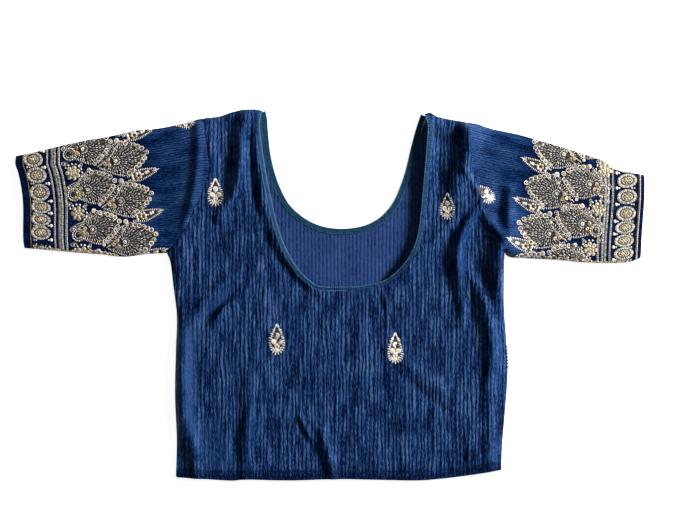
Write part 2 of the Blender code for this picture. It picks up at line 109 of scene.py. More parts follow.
SLEEVE_TOP_LEFT = (
    (-139, 194), (-147, 193), (-160.5, 189), (-187, 183.5), (-213, 181), (-240, 175), (-266, 170.5),
    (-292.5, 165), (-319, 158.5), (-344.8, 153),
)
SLEEVE_SEAM_LEFT = (
    (-179, 46), (-200, 45), (-226.5, 42), (-253, 44.5), (-279.5, 46.5), (-306, 49), (-335.5, 51.5),
)
CUFF_LEFT = (
    (-335.5, 51.5), (-336.5, 65), (-336.5, 98), (-338.5, 118), (-342, 135), (-345, 144), (-344.8, 153),
)
SLEEVE_TOP_RIGHT = (
    (148.5, 190), (162, 188), (170, 185), (183, 181.5), (209, 176), (235, 168.5), (262, 160.5),
    (288, 152), (302, 147), (312.5, 138.5), (328, 135.5), (345, 132),
)
SLEEVE_SEAM_RIGHT = (
    (191.5, 47), (198, 41.5), (222, 40), (249, 38.5), (275, 36), (301.5, 35), (328, 36), (341, 40.5),
)
CUFF_RIGHT = ((341, 40.5), (342, 65), (344.5, 100), (345, 115), (345, 132))

# A row for each fold of the upper cloth: a soft ridge, or a trough where its height is below 0
Fold = namedtuple("Fold", "name path half_width height")
FOLDS = (
    Fold("left side ridge", ((-162, -30), (-163, -120), (-160, -160)), 12, 4.6),
    Fold("left hem corner", ((-152, -140), (-149, -175), (-147, -210)), 7, 3.2),
    Fold("left underarm ridge", ((-165, 60), (-164, 22)), 8, 2.0),
    Fold("left waist upper bank", ((-102, 27), (-118, 12), (-134, -4), (-148, -19)), 5.5, 3.6),
    Fold("left waist crease", ((-91, 20), (-105, 7), (-120, -8), (-137, -26)), 4.5, -2.6),
    Fold("left waist lower bank", ((-85, 13), (-108, -11), (-129, -35)), 6, 2.0),
    Fold("left neck ridge", ((-81, 210), (-81, 165), (-76, 125), (-71, 95)), 6.5, 4.2),
    Fold("left neck bend", ((-71, 98), (-63, 72), (-52, 48), (-36, 26), (-22, 12)), 6, 3.0),
    Fold("left neck trough", ((-91, 180), (-86, 121), (-79, 90)), 5.5, -2.2),
    Fold("left neck lower trough", ((-72, 66), (-56, 38), (-30, 8), (-4, -14)), 5, -1.9),
    Fold("left lower swell", ((-92, -45), (-90, -105), (-94, -150)), 20, 2.6),
    Fold("left hem trough", ((-101, -85), (-103, -145), (-108, -205)), 6, -1.6),
    Fold("left hem ridge", ((-88, -85), (-89, -145), (-93, -205)), 6, 1.9),
    Fold("centre hem ridge", ((-10, -148), (-2, -173), (5, -205)), 6, 3.2),
    Fold("right waist ridge", ((84, -76), (106, -92), (132, -112)), 8, 3.2),
    Fold("right waist trough", ((77, -87), (99, -106), (121, -123), (138, -138)), 4, -1.5),
    Fold("right armhole ridge", ((151, 214), (152, 165), (150, 145), (144, 130), (137, 108)), 11, 10.5),
    Fold("right neck ridge", ((106, 212), (105, 163), (103, 135)), 12, 6.4),
    Fold("right neck bend", ((102, 135), (100, 108), (97, 82)), 11, 4.2),
    Fold("right neck corner", ((98, 74), (90, 46), (72, 22)), 9, 3.6),
    Fold("right bust diagonal", ((166, 112), (145, 93), (123, 68), (101, 45), (82, 24)), 6.5, 4.4),
    Fold(
        "right bust ridge",
        ((176, 113), (160, 92), (149, 77), (143, 62), (140, 42), (143, 15), (146, -30)), 6, 6.4,
    ),
    Fold("right underarm hump", ((190, 70), (189, 32), (186, -12)), 14, 11.5),
    Fold("right side ridge", ((151, 30), (161, 10), (170, -12), (176, -40), (177, -72), (172, -112)), 7, 7.0),
    Fold("right hem ridge", ((176, -128), (177, -200)), 9, 4.6),
    Fold("left strap ridge", ((-89, 212), (-96, 180), (-98, 145), (-103, 115), (-121, 86)), 7.5, 8.8),
    Fold("left armhole ridge", ((-134, 190), (-130, 143), (-138, 110)), 8, 3.0),
    Fold("left sleeve head", ((-145, 200), (-144, 148), (-148, 118), (-152, 100), (-159, 76)), 5.5, 5.0),
    Fold("left sleeve swell", ((-152, 200), (-152, 130), (-166, 62)), 22, 3.6),
    Fold("right sleeve trough", ((186, 118), (186, 88), (189, 62)), 6, -2.0),
    Fold("right sleeve ridge", ((197, 114), (196, 88), (199, 64)), 6, 5.0),
)
# Small creases that the solids leave out
CREASES = (
    Fold("strap crease", ((137, 150), (150, 134), (162, 112)), 3.2, 2.6),
    Fold("hem nick", ((-41, -125), (-34, -147), (-18, -170)), 3.5, -2.0),
    Fold("bank beside the right drop", ((64, -30), (63, -66)), 8, 2.6),
    Fold("crease below the right drop", ((62, -68), (42, -84), (20, -100)), 5, 2.2),
    Fold("centre nick", ((52, 3), (57, -14)), 3.5, -1.6),
    Fold("centre nick bank", ((60, -2), (66, -22)), 3.5, 1.8),
    Fold("left middle dent", ((-84, -22), (-90, -50)), 6, -1.8),
    Fold("middle dent", ((-28, -40), (-32, -62)), 6, -1.6),
    Fold("right strap dent", ((118, 150), (121, 118)), 4, -1.6),
    Fold("right lower bank", ((150, -150), (158, -195)), 8, 2.2),
    Fold("left side bank", ((-161, -22), (-161, -155)), 7, 1.8),
    Fold("left waist crease lip", ((-93, 3), (-105, -7), (-117, -15), (-128, -32)), 2.6, 3.0),
    Fold("left hem crease", ((-87, -112), (-90, -150), (-96, -206)), 4.5, 1.8),
    Fold("left middle crease", ((-60, 20), (-72, -2), (-80, -24)), 4, 1.4),
    Fold("left lower bank", ((-172, -150), (-170, -196)), 6, -2.2),
    Fold("underarm hump top", ((190, 66), (188, 30), (187, -8)), 10, 4.8),
    Fold("bust ridge top", ((168, 103), (158, 90), (148, 76), (142, 60), (139, 40), (142, 12)), 5.5, 2.6),
    Fold("bust ridge end", ((171, 110), (180, 115)), 6, -3.4),
    Fold(
        "right armhole seam",
        ((149, 189), (154, 165), (159.5, 132), (165, 104), (171.5, 85), (180, 64), (190, 50)), 2.2, 1.8,
    ),
    Fold("left hem corner top", ((-151, -146), (-149, -180), (-147, -208)), 8, 3.4),
    Fold("centre hem top", ((-11, -140), (-4, -168), (4, -200)), 5, 2.4),
    Fold("hem nick lip", ((-33, -134), (-20, -158)), 2.4, 1.7),
    Fold("right hem slope", ((166, -160), (168, -198)), 14, 3.0),
    Fold("underarm armhole bank", ((169, 92), (178, 78), (190, 62)), 5, 4.5),
    Fold("armhole ridge top", ((152, 206), (153, 170), (151, 148)), 7, 2.4),
    Fold("left strap hollow", ((-84, 205), (-86, 160), (-82, 120)), 4, -1.2),
    Fold("dent between the drops", ((14, -36), (9, -62)), 7, -1.6),
    Fold("bank between the drops", ((34, -30), (30, -66)), 6, 1.4),
)
# Runs where the cloth is pulled smooth, and the share of its ribs lost there; the cloth's colour is painted
# bright along them as painted light
SmoothRun = namedtuple("SmoothRun", "path half_width calm")
SMOOTH_RUNS = (
    SmoothRun(((-154, -40), (-154, -95), (-153, -150)), 7.5, 0.85),
    SmoothRun(((-138, -150), (-120, -186)), 17, 0.5),
    SmoothRun(((-100, -75), (-85, -150)), 9, 0.3),
    SmoothRun(((185, -45), (186, -112)), 4.5, 0.45),
    SmoothRun(((179, -166), (178, -192)), 6, 0.6),
    SmoothRun(((-112, 2), (-130, -14), (-145, -26)), 5, 0.6),
    SmoothRun(((-99, 178), (-101, 140), (-114, 104)), 5, 0.6),
    SmoothRun(((156, 84), (146, 60), (144, 20)), 5, 0.5),
)

# Colours in linear light
# The trough tones of the navy and inside cloth are painted shade between the ribs, the crest tones painted
# light on them, and the glint tones painted highlights
NAVY_GLINT = (0.050, 0.102, 0.218, 1.0)
NAVY_CREST = (0.019, 0.057, 0.166, 1.0)
NAVY_MIDDLE = (0.0020, 0.019, 0.080, 1.0)
NAVY_TROUGH = (0.0001, 0.0020, 0.018, 1.0)
INSIDE_GLINT = (0.036, 0.072, 0.20, 1.0)
INSIDE_CREST = (0.026, 0.060, 0.185, 1.0)
INSIDE_MIDDLE = (0.014, 0.036, 0.125, 1.0)
INSIDE_TROUGH = (0.003, 0.009, 0.040, 1.0)
BAND_BLUE = (0.013, 0.050, 0.14, 1.0)
BACK_BAND_TEAL = (0.008, 0.046, 0.090, 1.0)
PICOT_TEAL = (0.07, 0.25, 0.39, 1.0)
GOLD = (0.56, 0.44, 0.26, 1.0)
BRONZE = (0.20, 0.13, 0.07, 1.0)
# Dark brown thread, also used as painted shade between the embroidered parts
BROWN_THREAD_AND_SHADE = (0.012, 0.009, 0.016, 1.0)
SILVER = (0.50, 0.48, 0.44, 1.0)
CREAM = (0.78, 0.72, 0.63, 1.0)


def smooth_step(value):
    t = np.clip(value, 0, 1)
    return t * t * (3 - 2 * t)


def run_of(line):
    """Distance along a line at each of its points."""
    return np.concatenate([[0], np.cumsum(np.linalg.norm(np.diff(line, axis=0), axis=1))])


def smooth_line(points, step=CURVE_STEP):
    """Points about one step apart along a Catmull-Rom curve through the given ones."""
    given = np.array(points, float)
    last = len(given) - 1
    dense = []
    for i in range(last):
        before, start, end, after = given[max(i - 1, 0)], given[i], given[i + 1], given[min(i + 2, last)]
        for t in np.linspace(0, 1, 10, endpoint=False):
            dense.append(
                0.5 * (2 * start + (end - before) * t + (2 * before - 5 * start + 4 * end - after) * t**2
                       + (3 * start - before - 3 * end + after) * t**3)
            )
    dense = np.array(dense + [given[last]])
    run = run_of(dense)
    at = np.linspace(0, run[-1], max(2, round(run[-1] / step) + 1))
    return np.column_stack([np.interp(at, run, dense[:, k]) for k in (0, 1)])


def left_normals(line):
    along = np.gradient(line, axis=0)
    along /= np.linalg.norm(along, axis=1, keepdims=True)
    return np.column_stack([-along[:, 1], along[:, 0]])


def offset(line, distance):
    """The line moved to its left by a distance, or by one distance for each point."""
    return line + left_normals(line) * np.reshape(distance, (-1, 1))


def distance_to(line, x, y, reach=1e9):
    """Distance to a line, no more than reach, and how far along it the nearest point is, 0 to 1."""
    x, y = np.asarray(x, float), np.asarray(y, float)
    best, share = np.full(x.shape, float(reach)), np.zeros(x.shape)
    low, high = line.min(axis=0) - reach, line.max(axis=0) + reach
    near = (x > low[0]) & (x < high[0]) & (y > low[1]) & (y < high[1])
    if near.any():
        nx, ny, found, along = x[near], y[near], best[near], share[near]
        run = run_of(line)
        for k in range(len(line) - 1):
            start, step = line[k], line[k + 1] - line[k]
            t = np.clip(((nx - start[0]) * step[0] + (ny - start[1]) * step[1]) / (step @ step), 0, 1)
            away = np.hypot(nx - start[0] - t * step[0], ny - start[1] - t * step[1])
            nearer = away < found
            found = np.where(nearer, away, found)
            along = np.where(nearer, (run[k] + t * (run[k + 1] - run[k])) / run[-1], along)
        best[near], share[near] = found, along
    return best, share


def noise(x, y, size_x, size_y, seed):
    """Smooth noise from -1 to 1, with one random value for each size_x by size_y."""
    values = np.random.default_rng(seed).uniform(-1, 1, (256, 256))
    gx, gy = np.asarray(x) / size_x + 512, np.asarray(y) / size_y + 512
    i, j = np.floor(gx).astype(int), np.floor(gy).astype(int)
    u, v = smooth_step(gx - i), smooth_step(gy - j)
    i, j, i1, j1 = i % 256, j % 256, (i + 1) % 256, (j + 1) % 256
    low = values[i, j] * (1 - u) + values[i1, j] * u
    return low * (1 - v) + (values[i, j1] * (1 - u) + values[i1, j1] * u) * v


ARMHOLES = {"left": smooth_line(ARMHOLE_LEFT), "right": smooth_line(ARMHOLE_RIGHT)}
SEWN_EDGES = [
    smooth_line(line, 9.0)
    for line in (
        SIDE_LEFT, SIDE_RIGHT, SLEEVE_TOP_LEFT, SLEEVE_SEAM_LEFT, SLEEVE_TOP_RIGHT, SLEEVE_SEAM_RIGHT,
        ((-70, 204.6),) + SHOULDER_LEFT, SHOULDER_RIGHT + ((102, 199.5),),
    )
]
FOLD_LINES = [(fold, smooth_line(fold.path, 6.0)) for fold in FOLDS + CREASES]
SMOOTH_LINES = [(run, smooth_line(run.path, 6.0)) for run in SMOOTH_RUNS]
HEM_CURVE = smooth_line(HEM_LINE)
FRONT_NECK_EDGE, BACK_NECK_EDGE = smooth_line(FRONT_NECK, 1.5), smooth_line(BACK_NECK, 1.5)
FRONT_NECK_RUN = run_of(FRONT_NECK_EDGE)
FRONT_WIDTHS = np.interp(FRONT_NECK_RUN / FRONT_NECK_RUN[-1], *zip(*FRONT_BINDING_WIDTHS))
BACK_WIDTHS = np.full(len(BACK_NECK_EDGE), BACK_BINDING_WIDTH)


def lift(x, y):
    """How far the upper cloth stands off the lower one: rolled edges, its loft and its folds."""
    edge = np.min([distance_to(line, x, y, EDGE_ROLL)[0] for line in SEWN_EDGES], axis=0)
    roll = np.sqrt(1 - (1 - edge / EDGE_ROLL) ** 2)
    above_hem = smooth_step((y - HEM_CURVE[:, 1].min()) / HEM_LOFT_REACH)
    height = LOFT * (HEM_LOFT_SHARE + (1 - HEM_LOFT_SHARE) * above_hem) * roll
    for fold, line in FOLD_LINES:
        away, share = distance_to(line, x, y, 3 * fold.half_width)
        tapered = np.sin(math.pi * (FOLD_END + (1 - 2 * FOLD_END) * share)) ** 0.6
        height = height + fold.height * np.exp(-((away / fold.half_width) ** 2)) * tapered * roll
    least = LEAST_LIFT * roll
    return 0.5 * (height + least + np.sqrt((height - least) ** 2 + (0.8 * roll) ** 2))


def rib_share(phase):
    """0 in a narrow trough and 1 on a broad crest."""
    return np.abs(np.sin(math.pi * phase)) ** 0.6


def body_outline(neck_edge, widths):
    """Anticlockwise outline of a body panel, which stops at its neck binding."""
    sides = [
        HEM_CURVE, smooth_line(SIDE_RIGHT)[1:-1], offset(ARMHOLES["right"], SEAM_GAP / 2),
        smooth_line(SHOULDER_RIGHT)[1:], offset(neck_edge, widths - 0.3), smooth_line(SHOULDER_LEFT)[:-1],
        offset(ARMHOLES["left"], SEAM_GAP / 2), smooth_line(SIDE_LEFT)[1:-1],
    ]
    return np.concatenate(sides)


def signed_distance(outline, x, y):
    """Distance to a closed outline, above 0 inside it."""
    closed = np.vstack([outline, outline[:1]])
    inside = np.zeros(x.shape, bool)
    best = np.full(x.shape, 1e9)
    for a, b in zip(closed, closed[1:]):
        step = b - a
        if not step.any():
            continue
        t = np.clip(((x - a[0]) * step[0] + (y - a[1]) * step[1]) / (step @ step), 0, 1)
        best = np.minimum(best, (x - a[0] - t * step[0]) ** 2 + (y - a[1] - t * step[1]) ** 2)
        if step[1]:
            crosses = (a[1] > y) != (b[1] > y)
            inside ^= crosses & (x < a[0] + (y - a[1]) * step[0] / step[1])
    return np.where(inside, 1, -1) * np.sqrt(best)


def cut_grid(outline, columns, rows):
    """Plan mesh of a grid cut along an outline: points, faces and the loop round its edge."""
    gx, gy = np.meshgrid(columns, rows)
    depth = signed_distance(outline, gx, gy)
    depth[np.abs(depth) < 0.02] = 0.02
    wide = len(columns)
    flat = depth.ravel()
    where = np.full(flat.size, -1)
    kept = np.flatnonzero(flat > 0)
    where[kept] = np.arange(len(kept))
    points = list(np.column_stack([gx.ravel()[kept], gy.ravel()[kept]]))
    r, c = np.meshgrid(np.arange(len(rows) - 1), np.arange(wide - 1), indexing="ij")
    first = (r * wide + c).ravel()
    corners = np.column_stack([first, first + 1, first + wide + 1, first + wide])
    inside_count = (flat[corners] > 0).sum(axis=1)
    faces = [tuple(f) for f in where[corners[inside_count == 4]]]
    crossings, following = {}, {}

    def crossing(a, b):
        key = (min(a, b), max(a, b))
        if key not in crossings:
            share = flat[a] / (flat[a] - flat[b])
            pa, pb = (np.array([gx.ravel()[k], gy.ravel()[k]]) for k in (a, b))
            crossings[key] = len(points)
            points.append(pa + share * (pb - pa))
        return crossings[key]

    for cell in corners[(inside_count > 0) & (inside_count < 4)]:
        face, out, back = [], None, None
        for k in range(4):
            a, b = cell[k], cell[(k + 1) % 4]
            if flat[a] > 0:
                face.append(where[a])
            if (flat[a] > 0) != (flat[b] > 0):
                point = crossing(a, b)
                face.append(point)
                if flat[a] > 0:
                    out = point
                else:
                    back = point
        if len(face) >= 3:
            faces.append(tuple(face))
            following[out] = back
    loops, left = [], dict(following)
    while left:
        start = next(iter(left))
        loop = [start]
        while left.get(loop[-1]) is not None:
            loop.append(left.pop(loop[-1]))
            if loop[-1] == start:
                break
        loops.append(loop[:-1])
    return np.array(points), faces, max(loops, key=len)


# What each point of the cloth knows of its ribs: where it is between two, their strength, their loss
RIB_VALUES = ("rib_phase", "rib_strength", "rib_calm")


def new_mesh(name, points, faces, material, ribs=None):
    """An object from points in millimetres. Its rows of RIB_VALUES are kept for its material."""
    mesh = bpy.data.meshes.new(name)
    mesh.from_pydata((np.asarray(points) * MM).tolist(), [], [tuple(int(k) for k in f) for f in faces])
    if ribs is not None:
        for kind, values in zip(RIB_VALUES, ribs):
            attribute = mesh.attributes.new(kind, "FLOAT", "POINT")
            attribute.data.foreach_set("value", values.astype(np.float32))
    mesh.shade_smooth()
    mesh.materials.append(material)
    obj = bpy.data.objects.new(name, mesh)
    bpy.context.scene.collection.objects.link(obj)
    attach(obj, "root")
    return obj


# Steps round the edge of a panel: how far out, and how far below its upper side
EDGE_STEPS = ((0.25, 0.3), (0.3, 0.8))


def panel(name, outline, columns, rows, height, drop, closed_below, material):
    """A cloth panel: its upper side, a rounded edge and, if closed, a flat underside."""
    plan, faces, loop = cut_grid(outline, columns, rows)
    z, values = height(plan[:, 0], plan[:, 1])
    points = np.column_stack([plan, z])
    rim = points[loop]
    outward = -left_normals(np.vstack([rim[-1:, :2], rim[:, :2], rim[:1, :2]]))[1:-1]
    previous = list(loop)
    ribs = [values]
    for out, down in EDGE_STEPS + ((0.1, drop),):
        ring = rim + np.column_stack([outward * out, np.full(len(rim), -down)])
        if down == drop and closed_below:
            ring[:, 2] = REST_HEIGHT
        first = len(points)
        points = np.vstack([points, ring])
        ribs.append(values[:, loop] * ((1.0,), (0.6,), (1.0,)))
        current = list(range(first, first + len(ring)))
        for k in range(len(loop)):
            n = (k + 1) % len(loop)
            faces.append((previous[n], previous[k], current[k], current[n]))
        previous = current
    if closed_below:
        faces.append(tuple(reversed(previous)))
    return new_mesh(name, points, faces, material, np.hstack(ribs))


def seam_dip(x, y):
    """The cloth sinks into the seams at the armholes."""
    away = np.minimum(*(distance_to(armhole, x, y, 6)[0] for armhole in ARMHOLES.values()))
    return 0.9 * np.exp(-((away / 1.5) ** 2))


def front_height(x, y):
    """Height of the front's upper side, and its rows of RIB_VALUES."""
    drift = 1.3 * noise(x, y, 7, 34, 1) + 0.6 * noise(x, y, 5, 12, 2) + 0.4 * noise(x, y, 4, 5, 6)
    phase = (x + drift) / FRONT_PITCH
    strength = np.clip(0.8 + 0.16 * noise(x, y, 12, 30, 3) + 0.48 * noise(x, y, 4, 16, 4), 0.2, 1.4)
    calm = 0 * x
    for run, line in SMOOTH_LINES:
        away = distance_to(line, x, y, 3 * run.half_width)[0] / run.half_width
        calm = np.maximum(calm, run.calm * np.exp(-(away**2)))
    hem, _ = distance_to(HEM_CURVE, x, y, 16)
    in_hem = smooth_step((HEM_DEPTH + 1 - hem) / 2)
    stitched = np.exp(-(((hem - HEM_DEPTH) / STITCH_HALF_WIDTH) ** 2))
    kept = (1 - 0.35 * in_hem) * (1 - 0.6 * stitched) * (1 - calm)
    rise = 0.3 * FRONT_CRINKLE + FRONT_CRINKLE * (strength * rib_share(phase) - 0.3) * kept
    swell = 0.6 * noise(x, y, 17, 30, 5) + 0.12 * noise(x, y, 7, 12, 7)
    turned_down = HEM_EDGE_FALL * np.clip(1 - hem / HEM_DEPTH, 0, 1) ** 1.5
    hemmed = HEM_RISE * in_hem - turned_down - STITCH_PULL * stitched
    z = FRONT_BASE + lift(x, y) + CLOTH + rise + swell + hemmed
    z = np.maximum(z - seam_dip(x, y), FRONT_BASE + 0.7)
    # The hem band's rib strength is halved, which paints it darker as painted shade of the turned hem
    return z, np.array([phase, strength * (1 - 0.5 * in_hem), calm * (1 - in_hem)])


def back_height(x, y):
    """Height of the back's inner side, and its rows of RIB_VALUES."""
    phase = (x + 0.5 * noise(x, y, 12, 40, 11)) / BACK_PITCH
    strength = 0.85 + 0.2 * noise(x, y, 9, 30, 12)
    z = SOLID_WALL - 0.3 + BACK_CRINKLE * rib_share(phase) * strength
    return z, np.array([phase, strength, 0 * x])


def spaced(low, high, step):
    return np.linspace(low, high, max(2, round((high - low) / step) + 1))


def point_at(line, share):
    run = run_of(line)
    return np.column_stack([np.interp(share * run[-1], run, line[:, k]) for k in (0, 1)])


def evenly(line, step):
    """Points along a line, about one step apart."""
    count = max(2, round(run_of(line)[-1] / step) + 1)
    return point_at(np.asarray(line), np.linspace(0, 1, count))


# The sleeve's tube: its rows, the points along its underside, and the round of its folded edges
SLEEVE_ROWS = 112
SLEEVE_UNDER_POINTS = 61
EDGE_BEND = 1.4
BEND_ANGLES = (55, 20, -20, -55)
TUBE_MIDDLE = (FRONT_BASE + CLOTH + REST_HEIGHT) / 2
# The rows that turn the cuff in: how far the tube closes there, and how far out they are
CUFF_TURN = ((0.5, 0.4), (1.1, 0.1), (1.1, -9.0))
# Work on a sleeve: the round over its folded edges, and the cloth left bare at the cuff and the armhole
FOLD_ROUND = 1.5
CUFF_MARGIN = 0.8
ARMHOLE_MARGIN = 2.2


def folded_back(y, low, high):
    """Where y lies once what is past low or high is folded back over that edge."""
    return np.where(y > high, 2 * high - y, np.where(y < low, 2 * low - y, y))


class Sleeve:
    """One sleeve's plan, as a patch between its armhole, cuff, seam and folded top edge."""

    def __init__(self, side, seam, top, cuff):
        self.side = side
        self.outward = -1 if side == "left" else 1
        armhole = ARMHOLES["left"][::-1] if side == "left" else ARMHOLES["right"]
        self.armhole = offset(armhole, SEAM_GAP / 2 if side == "left" else -SEAM_GAP / 2)
        self.seam, self.top, self.cuff = smooth_line(seam), smooth_line(top), smooth_line(cuff)
        self.seam[0], self.top[0] = self.armhole[0], self.armhole[-1]
        self.top_by_x, self.seam_by_x = (line[np.argsort(line[:, 0])].T for line in (self.top, self.seam))
        self.armhole_by_y, self.cuff_by_y = (
            line[np.argsort(line[:, 1])].T[::-1] for line in (self.armhole, self.cuff))

    def edges_at(self, x):
        """Where the fold and the seam are at each x."""
        return np.interp(x, *self.top_by_x), np.interp(x, *self.seam_by_x)

    def place(self, across, along):
        """Plan points at shares across (seam 0, fold 1) and along (armhole 0, cuff 1)."""
        s, t = across[:, None], along[:, None]
        corners = (1 - s) * ((1 - t) * self.seam[0] + t * self.seam[-1]) + s * (
            (1 - t) * self.top[0] + t * self.top[-1])
        return (
            (1 - t) * point_at(self.armhole, across) + t * point_at(self.cuff, across)
            + (1 - s) * point_at(self.seam, along) + s * point_at(self.top, along) - corners
        )

    def height(self, x, y, across=None, along=None):
        """Height of the upper side, and its RIB_VALUES where its shares across and along are known."""
        z = FRONT_BASE + lift(x, y) + CLOTH - seam_dip(x, y)
        if across is None:
            return z + 0.05 + 0.85 * SLEEVE_CRINKLE * (0.15 + 0.85 * self.plainness(self.along_at(x, y)))
        plain = self.plainness(along)
        u, v = along * SLEEVE_LENGTH, across * SLEEVE_WIDTH
        phase = across * SLEEVE_RIBS + 0.35 * noise(u, v, 14, 4, 21) + 0.2 * noise(u, v, 5, 3, 22)
        strength = np.clip(0.8 + 0.4 * noise(u, v, 20, 8, 23), 0.2, 1.2)
        rise = SLEEVE_CRINKLE * rib_share(phase) * strength * (0.15 + 0.85 * plain)
        return z + rise, np.array([phase, strength * (0.35 + 0.65 * plain), 0 * x])

    def plainness(self, along):
        """1 where the sleeve is plain and its ribs are full, and 0 under the embroidery."""
        return 1 - smooth_step((along - 0.22) / 0.2)

    def along_at(self, x, y):
        """Share of the way from the armhole to the cuff."""
        hole = np.interp(y, *self.armhole_by_y)
        return np.clip((x - hole) / (self.cuff_x(y) - hole), 0, 1)

    def shell(self, name, material):
        """The flattened tube, with its cuff turned in."""
        ribs = np.linspace(0, 1, 5 * SLEEVE_RIBS + 1)
        under = np.linspace(1, 0, SLEEVE_UNDER_POINTS)
        rows = [(t, 0.0, 0.0) for t in np.linspace(0, 1, SLEEVE_ROWS)] + [(1.0, *turn) for turn in CUFF_TURN]
        points, values = [], []
        for t, pull, out in rows:
            fold_point, seam_point = self.place(np.array([1.0, 0.0]), np.array([t, t]))
            width = np.linalg.norm(fold_point - seam_point)
            margin = EDGE_BEND / width
            s = margin + ribs * (1 - 2 * margin)
            over = self.place(s, np.full(len(s), t))
            z, upper = self.height(over[:, 0], over[:, 1], ribs, np.full(len(ribs), t))
            edge_fade = smooth_step(np.minimum(ribs, 1 - ribs) * width / 4)
            z = (z - FRONT_BASE - CLOTH) * (0.25 + 0.75 * edge_fade) + FRONT_BASE + CLOTH
            low = self.place(margin + under * (1 - 2 * margin), np.full(len(under), t))
            bends = []
            for near, far in ((1 - margin, 1.0), (margin, 0.0)):
                a, b = self.place(np.array([near, far]), np.array([t, t]))
                angles = np.radians(BEND_ANGLES if far else BEND_ANGLES[::-1])
                bends.append([
                    (*(a + (b - a) * math.cos(q)), TUBE_MIDDLE + (TUBE_MIDDLE - REST_HEIGHT) * math.sin(q))
                    for q in angles
                ])
            ring = np.vstack([
                np.column_stack([over, z]), bends[0],
                np.column_stack([low, np.full(len(low), REST_HEIGHT)]), bends[1],
            ])
            lower = np.array([under * SLEEVE_RIBS, 0.8 + 0 * under, 0 * under])
            values.append(np.hstack([upper, upper[:, [-1] * 4], lower, upper[:, [0] * 4]]))
            if pull:
                off = ring[:, 2] - TUBE_MIDDLE
                ring[:, 2] = TUBE_MIDDLE + np.clip(np.abs(off) - pull, 0.25, None) * np.sign(off)
                ring[:, 0] += self.outward * out
                ring[:, 1] += (ring[:, 1].mean() - ring[:, 1]) * pull / width * 2
            points.append(ring)
        count = len(points[0])
        faces = []
        for r in range(len(points) - 1):
            for k in range(count):
                n = (k + 1) % count
                face = (r * count + k, r * count + n, (r + 1) * count + n, (r + 1) * count + k)
                faces.append(face if self.side == "left" else face[::-1])
        return new_mesh(name, np.vstack(points), faces, material, np.hstack(values))

    def cuff_x(self, y):
        """Where the cuff is at each y, which past the fold or the seam is that of the cloth below."""
        low, high = self.cuff_by_y[0, 0], self.cuff_by_y[0, -1]
        return np.interp(folded_back(y, low, high), *self.cuff_by_y)

    def wrap(self, points):
        """Lays flat work on the sleeve. What passes its top or its seam goes on underneath."""
        x, y, rise = points[..., 0], points[..., 1], points[..., 2]
        high, low = self.edges_at(x)
        under = (y > high) | (y < low)
        new_y = folded_back(y, low, high)
        upper = self.height(x, new_y) + rise
        lower = REST_HEIGHT - 0.03 - 0.2 * np.clip(rise, 0, 1)
        edge = np.minimum(np.abs(high - new_y), np.abs(new_y - low))
        near_fold = np.clip(edge / FOLD_ROUND, 0, 1)
        z = np.where(under, lower, upper)
        rounded = TUBE_MIDDLE + (z - TUBE_MIDDLE) * np.sqrt(1 - (1 - near_fold) ** 2)
        z = np.where(edge < FOLD_ROUND, rounded, z)
        return np.stack([x, new_y, z], axis=-1)

    def kept(self, x, y):
        """Whether work centred there has cloth under it and doesn't meet the work from the other edge."""
        high, low = self.edges_at(x)
        half = (high - low) / 2
        inward = (self.cuff_x(y) - x) * self.outward > CUFF_MARGIN
        hole = np.interp(np.clip(y, low, high), *self.armhole_by_y)
        beyond = (x - hole) * self.outward > ARMHOLE_MARGIN
        return inward & beyond & (y < high + half) & (y > low - half)


# A binding's section from its free edge: share of its width, and height as a share of the wall
BINDING_SECTION = (
    (0.06, 0.1), (0.0, 0.5), (0.03, 0.85), (0.14, 1.1), (0.35, 1.22), (0.65, 1.2), (0.9, 1.05), (1.0, 0.75),
    (1.04, 0.2),
)
BINDING_TOP = 1.22


def binding(name, free_edge, widths, base, material):
    """A strip of cloth folded over a neckline, with a rounded free edge."""
    run = run_of(free_edge)
    pinch = 0.12 * np.sin(run / 1.7) + 0.1 * noise(run, run * 0, 3, 3, 31)
    points, faces = [], []
    for share, level in BINDING_SECTION:
        line = offset(free_edge, widths * share)
        z = base(*line.T) + SOLID_WALL * level + pinch * (level > 1)
        points.append(np.column_stack([line, z]))
    points = np.concatenate(points)
    count, sides = len(free_edge), len(BINDING_SECTION)
    for k in range(sides):
        n = (k + 1) % sides
        for r in range(count - 1):
            faces.append((k * count + r, n * count + r, n * count + r + 1, k * count + r + 1))
    faces.append(tuple(k * count for k in reversed(range(sides))))
    faces.append(tuple(k * count + count - 1 for k in range(sides)))
    return new_mesh(name, points, faces, material)


# Stitches stand no higher than this, and the dark fill stitches, painted shade between the embroidered parts,
# lie nearly flat
THREAD_RISE = {"brown": 0.15}
MOST_RISE = 0.7
# The eight points of a stitch are its ends and two rows of three between them
STITCH_ROWS = (0.3, 0.7)
STITCH_FACES = ((0, 2, 1), (0, 3, 2), (1, 2, 5, 4), (2, 3, 6, 5), (4, 5, 7), (5, 6, 7))
# Sections of a sequin and a bead, from the rim inwards: share of the radius, and height
RING_SIDES = 9
RING_SECTION = ((1.0, 0.05), (0.93, 0.5), (0.62, 0.62), (0.0, 0.35))
RING_TILT = 0.16
BEAD_SIDES = 8
BEAD_SECTION = ((1.0, 0.1), (0.9, 0.55), (0.5, 0.95))
BEAD_TOP = 1.1
TALLEST_BEAD = 1.0


def circle_of(sides):
    angles = np.arange(sides) * 2 * math.pi / sides
    return np.column_stack([np.cos(angles), np.sin(angles)])


def bands_between(rings, sides):
    """Faces between rings of points that follow each other, each of the same number of points."""
    return [
        (r * sides + k, r * sides + (k + 1) % sides, (r + 1) * sides + (k + 1) % sides, (r + 1) * sides + k)
        for r in range(rings - 1) for k in range(sides)
    ]


